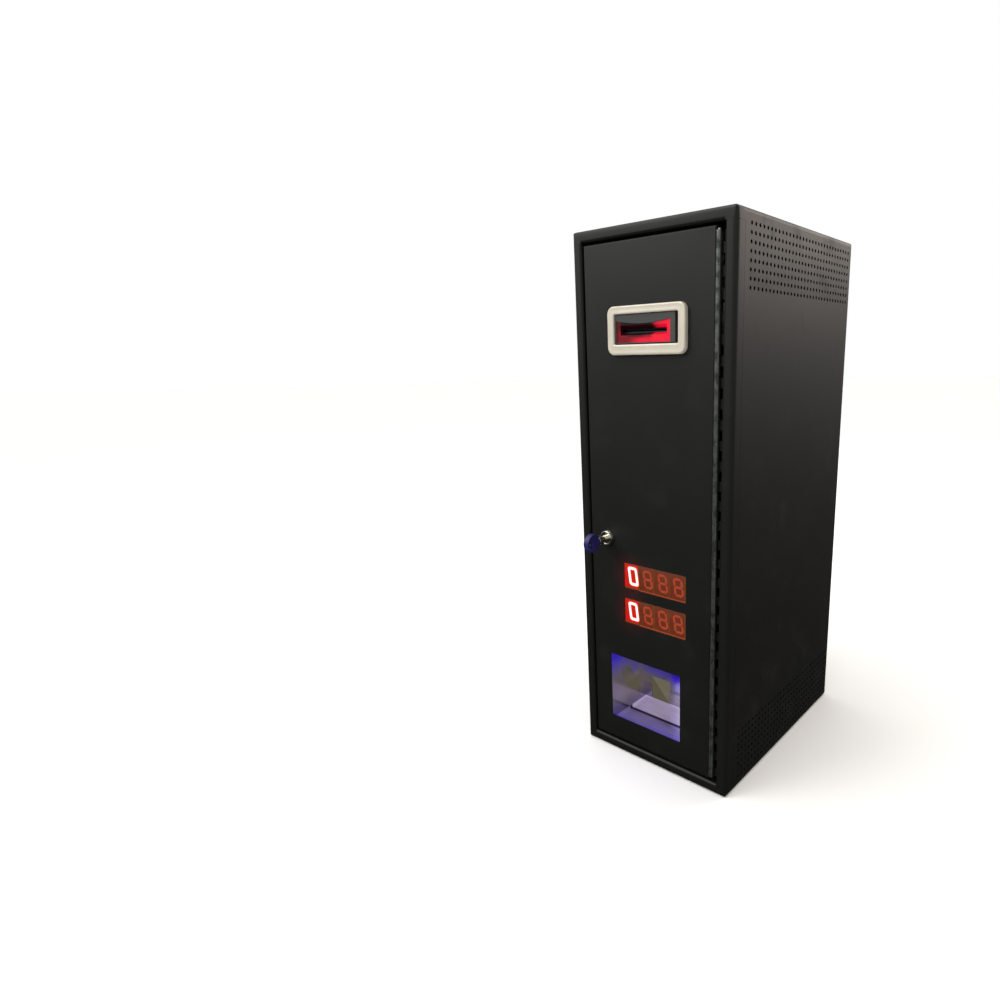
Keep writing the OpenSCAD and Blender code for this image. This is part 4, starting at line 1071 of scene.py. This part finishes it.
# %% [markdown]
# ## The numerals
#
# Each display shows four seven-segment numerals that lean backwards. Only the first is lit.
# A segment is a bar with pointed ends. One unlit numeral, one lit nought and its softer halo
# are drawn once each, then repeated across and up by the tree. The cells behind them, and the
# bright lower edge of the filter, are thin plates made the same way.

# %% Draw the segments
LEAN = -math.tan(math.radians(7.8))
FACE_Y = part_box("display_upper")[0].y / MM
CELL_STEP = 20.75
PLATE = 0.10


def bar(shape, start, end, width, depth):
    """A pointed bar between two points of a numeral, leaning with it, in mm."""
    (x0, z0), (x1, z1) = start, end
    length = math.hypot(x1 - x0, z1 - z0)
    along = ((x1 - x0) / length, (z1 - z0) / length)
    side = (-along[1], along[0])
    half = width / 2
    plan = [(0, 0), (half, half), (length - half, half)]
    plan += [(length, 0), (length - half, -half), (half, -half)]
    rings = []
    for depth_now in depth:
        ring = []
        for u, v in plan:
            x = x0 + along[0] * u + side[0] * v
            z = z0 + along[1] * u + side[1] * v
            ring.append(shape.verts.new(Vector((x + LEAN * z, depth_now, z)) * MM))
        rings.append(ring)
    shape.faces.new(rings[0])
    shape.faces.new(rings[1][::-1])
    for i in range(6):
        j = (i + 1) % 6
        shape.faces.new((rings[0][i], rings[0][j], rings[1][j], rings[1][i]))


def numeral(segments, wide, tall, width, depth):
    """The chosen segments of one numeral round its own centre."""
    w, h, gap = wide / 2, tall / 2, 0.25
    places = {
        "a": ((-w + gap, h), (w - gap, h)),
        "b": ((w, gap), (w, h - gap)),
        "c": ((w, -h + gap), (w, -gap)),
        "d": ((-w + gap, -h), (w - gap, -h)),
        "e": ((-w, -h + gap), (-w, -gap)),
        "f": ((-w, gap), (-w, h - gap)),
        "g": ((-w + gap, 0), (w - gap, 0)),
    }
    shape = bmesh.new()
    for letter in segments:
        bar(shape, *places[letter], width, depth)
    return shape


DIGIT_RISE = (0, 0, DISPLAY_Z[1] - DISPLAY_Z[0])
DIGIT_STEP = (20.5, 0, 0)
# the unlit numerals carry a faint painted glow
ghosts = repeated(
    "unlit_numerals", numeral("abcdefg", 9.6, 18.2, 2.7, (-0.22, 0.05)), "door", "ghost_segment",
    (NUMERAL_X + 20.5, FACE_Y - PLATE, DISPLAY_Z[0] + 0.8), DIGIT_STEP, 3,
    DIGIT_RISE, 2
)
print("unlit numerals", len(ghosts.data.polygons), "faces")


# %% Draw the lit noughts
def nought(wide, tall, stroke, depth):
    """A nought with round corners: one closed stroke that leans with the numerals."""
    shape = bmesh.new()
    loops = []
    for out, y in ((0.5, depth[1]), (0.5, depth[0] + 0.08), (0.36, depth[0])):
        loops.append(ring_of(shape, wide + 2 * out * stroke, tall + 2 * out * stroke, 3.4, y))
    for out, y in ((0.36, depth[0]), (0.5, depth[0] + 0.08), (0.5, depth[1])):
        loops.append(ring_of(shape, wide - 2 * out * stroke, tall - 2 * out * stroke, 1.6, y))
    close_loops(shape, loops)
    return shape


def ring_of(shape, wide, tall, radius, y):
    outline = rounded_outline((-wide / 2, -tall / 2), (wide / 2, tall / 2), radius)
    return [shape.verts.new(Vector((x + LEAN * z, y, z)) * MM) for x, z in outline]


LIT_START = (NUMERAL_X, FACE_Y - PLATE, DISPLAY_Z[0] + 0.8)
for name, stroke, finish, depth in (
    ("lit_halo", 4.4, "segment_halo", (-0.22, 0.05)),
    ("lit_nought", 2.9, "segment_lit", (-0.34, 0.05)),
):
    lit = repeated(
        name, nought(9.8, 18.6, stroke, depth), "door", finish, LIT_START,
        DIGIT_STEP, 1, DIGIT_RISE, 2
    )
    print(name, len(lit.data.polygons), "faces")

# %% Lay the cells behind the numerals
first_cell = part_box("display_lower")[0].x / MM + 0.4
for name, finish, start, count in (
    ("lit_cells", "cell_lit", first_cell, 1),
    ("unlit_cells", "cell_amber", first_cell + CELL_STEP, 3),
):
    cells = repeated(
        name, one_block((0, -PLATE, -13.2), (CELL_STEP - 1.6, 0.2, 14.2), 0.05), "door", finish,
        (start, FACE_Y, DISPLAY_Z[0]), (CELL_STEP, 0, 0), count, DIGIT_RISE, 2
    )
    print(name, len(cells.data.polygons), "faces")
repeated(
    "filter_edges",
    one_block((CELL_STEP, -PLATE - 0.05, -14.9), (4 * CELL_STEP - 0.4, 0.2, -13.5), 0.05), "door",
    "amber_edge", (first_cell, FACE_Y, DISPLAY_Z[0]), (1, 0, 0), 1, DIGIT_RISE, 2
)

# %% [markdown]
# ## The power supply's cover
#
# A supply of this kind sits in a folded cover full of round holes that let its heat out, with
# a black row of screw terminals at one end. The holes must be real holes, as the dark inside
# shows through them. One cell of sheet with a hole in it is repeated side by side, which is
# far cheaper than cutting hundreds of cylinders out of a plate.

# %% Perforate the cover
CELL = 6.0
HOLE_R = 2.0
COVER_T = 0.8


def sheet_cell():
    """A square of sheet in X and Z with an eight-sided hole through it."""
    shape = bmesh.new()
    rings = []
    for y in (-COVER_T, 0.0):
        outside, hole = [], []
        for i in range(8):
            x, z = math.cos(math.radians(45 * i)), math.sin(math.radians(45 * i))
            to_edge = CELL / 2 / max(abs(x), abs(z))
            for ring, radius in ((outside, to_edge), (hole, HOLE_R)):
                ring.append(shape.verts.new(Vector((radius * x, y, radius * z)) * MM))
        rings.append((outside, hole))
    (front_out, front_hole), (back_out, back_hole) = rings
    for i in range(8):
        j = (i + 1) % 8
        shape.faces.new((front_out[i], front_out[j], front_hole[j], front_hole[i]))
        shape.faces.new((back_out[j], back_out[i], back_hole[i], back_hole[j]))
        shape.faces.new((front_hole[i], front_hole[j], back_hole[j], back_hole[i]))
    return shape


supply_low, supply_high = (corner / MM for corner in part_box("power_supply"))
COVER_COLUMNS = 15
COVER_ROWS = 19
cover_x = (supply_low.x + supply_high.x) / 2 - CELL * (COVER_COLUMNS - 1) / 2
cover_z = supply_high.z - 4 - CELL * (COVER_ROWS - 1) - CELL / 2
cover = repeated(
    "supply_cover", sheet_cell(), "cabinet", "supply_metal",
    (cover_x, supply_low.y - 0.01, cover_z), (CELL, 0, 0), COVER_COLUMNS, (0, 0, CELL), COVER_ROWS
)
print("cover", len(cover.data.polygons), "faces")

# %% Add the row of terminals
left, right_end = supply_low.x + 6, supply_high.x - 6
row_low = (left, supply_low.y - 9, supply_low.z + 1)
row_high = (right_end, supply_low.y, supply_low.z + 14)
row = one_block(row_low, row_high, 0.4)
piece("terminal_block", row, "cabinet", "terminal_black")
TERMINALS = 7
pitch = (right_end - left) / TERMINALS
repeated(
    "terminal_walls", one_block((-0.6, -4.0, 0), (0.6, 0, 13), 0.2), "cabinet", "terminal_black",
    (left + 0.7, supply_low.y - 8.9, supply_low.z + 1),
    (pitch * (1 - 1.4 / (pitch * TERMINALS)), 0, 0), TERMINALS + 1
)
SCREW_HEAD = [(0, 0), (0, 2.9), (0.9, 3.0), (1.5, 2.5), (1.7, 1.4)]
SCREW_HEAD += [(1.7, 0.9), (1.1, 0.6), (1.1, 0)]
repeated(
    "terminal_screws", one_turned(SCREW_HEAD, (0, -1, 0), 16), "cabinet", "zinc_steel",
    (left + pitch / 2, supply_low.y - 8.95, supply_low.z + 7), (pitch, 0, 0),
    TERMINALS
)
print("terminals", TERMINALS)

# %% [markdown]
# ## Parts on the control board
#
# The control board carries rows of plug housings with bright pins, two smoothing capacitors
# and a many-legged chip. The pins and legs are what make it read as a circuit board, so each
# is a small real part, laid out by the repeating tree.

# %% Add pins, legs and rims
board_low, board_high = (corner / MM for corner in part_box("control_board"))
BOARD_FACE = board_high.x - 1.6
repeated(
    "plug_pins", one_block((-0.35, -0.35, -0.35), (6.5, 0.35, 0.35), 0.1), "cabinet",
    "steel_shaft", (BOARD_FACE - 15.2, board_low.y + 8, board_low.z + 15),
    (0, 0, 3.0), 5, (0, 0, 24.0), 4
)
repeated(
    "chip_legs", one_block((-1.6, -1.3, -0.3), (0.1, 1.3, 0.3), 0.08), "cabinet", "steel_shaft",
    (BOARD_FACE, board_low.y + 39.4, board_low.z + 42), (0, 0, 2.4), 14,
    (0, 16.2, 0), 2
)
CAN = [(0, 0), (0, 5.9), (0.6, 6.15), (1.2, 5.9), (1.4, 5.3), (0.9, 5.0), (0.9, 0)]
repeated(
    "capacitor_tops", one_turned(CAN, (-1, 0, 0), 28), "cabinet", "motor_can",
    (BOARD_FACE - 13.6, board_high.y - 18, board_low.z + 16), (0, 0, 18.0), 2
)
repeated(
    "board_resistors", one_block((-1.1, -0.7, -1.3), (0.1, 0.7, 1.3), 0.15), "cabinet",
    "terminal_black", (BOARD_FACE, board_low.y + 22, board_low.z + 14),
    (0, 0, 5.2), 17, (0, 10.0, 0), 2
)
print("control board face at", round(BOARD_FACE, 1), "mm")

# %% [markdown]
# The back of the display board is seen when the door stands open. Every numeral's legs come
# through it and end in a bright bead of solder, so two rows of beads lie over each other
# along both displays.

# %% Solder the display board
solder_low_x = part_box("display_board")[0].x / MM
BEAD = [(-0.1, 0), (0, 1.05), (0.35, 0.85), (0.8, 0.4), (1.0, 0)]
for name, rise in (("solder_lower", -9.6), ("solder_upper", 9.6)):
    repeated(
        name, one_turned(BEAD, (0, 1, 0), 8), "door", "zinc_steel",
        (solder_low_x + 8, DISPLAY_BACK_Y, DISPLAY_Z[0] + rise), (2.54, 0, 0), 31, DIGIT_RISE, 2
    )
print("solder beads on both displays")

# %% [markdown]
# ## The sensor board in the lid
#
# The lid of the bill head is an open tray that holds the board of the upper sensors. It has a
# white plug for its ribbon and three chips, the largest with two rows of legs.

# %% Lay the sensor board
lid_low, lid_high = (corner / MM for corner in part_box("validator_lid"))
shape = bmesh.new()
LID_FLOOR = lid_low.z + 38.5
board = ((lid_low.x + 4.5, lid_low.y + 5.0), (lid_high.x - 4.5, -92.5))
block(
    shape,
    (board[0][0], board[0][1], LID_FLOOR + 2.0),
    (board[1][0], board[1][1], LID_FLOOR + 3.6),
    0.15,
)
for x in (board[0][0] + 4, board[1][0] - 4):
    for y in (board[0][1] + 4, board[1][1] - 4):
        block(shape, (x - 2, y - 2, LID_FLOOR - 0.1), (x + 2, y + 2, LID_FLOOR + 2.2), 0.3)
piece("sensor_board", shape, "lid", "sensor_green")
shape = bmesh.new()
TOP = LID_FLOOR + 3.5
CHIPS = ((-30, -118, 14, 9, 2.2), (6, -112, 10, 10, 1.8), (24, -120, 7, 6, 2.4))
for x, y, wide, deep, tall in CHIPS:
    block(shape, (x, y, TOP), (x + wide, y + deep, TOP + tall), 0.25)
piece("sensor_chips", shape, "lid", "terminal_black")
plug = one_block((-22, -102.5, TOP), (10, -96.5, TOP + 5.5), 0.4)
piece("ribbon_plug", plug, "lid", "gear_acetal")
repeated(
    "sensor_legs", one_block((-0.25, -0.9, -0.1), (0.25, 0.9, 0.5), 0.06), "lid", "steel_shaft",
    (-29, -118.4, TOP), (1.5, 0, 0), 9, (0, 9.8, 0), 2
)
print("sensor board at", round(TOP, 1), "mm")

# %% [markdown]
# ## Ribs on the bill box
#
# The bill box is a thin moulding, so its back is stiffened by upright ribs that also give a
# grip for pulling it open. A rib is a rounded bar, and the tree lays nine of them.

# %% Add the ribs
repeated(
    "bill_box_ribs", one_block((-0.9, 0, 0), (0.9, 1.3, 118), 0.5), "cash_box", "validator_black",
    (-37, -46.4, 318), (8.6, 0, 0), 9
)
print("nine ribs")

# %% [markdown]
# ## The last line
#
# The visual model should fill the same box as the CAD model, so how far the scene grows past
# that box on each side is printed.

# %% Print how far the scene grows past the CAD box
low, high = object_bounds()
for side, growth in (("low", cad_low - low), ("high", high - cad_high)):
    print("grown on the", side, "side by", [round(v / MM, 3) for v in growth], "mm")
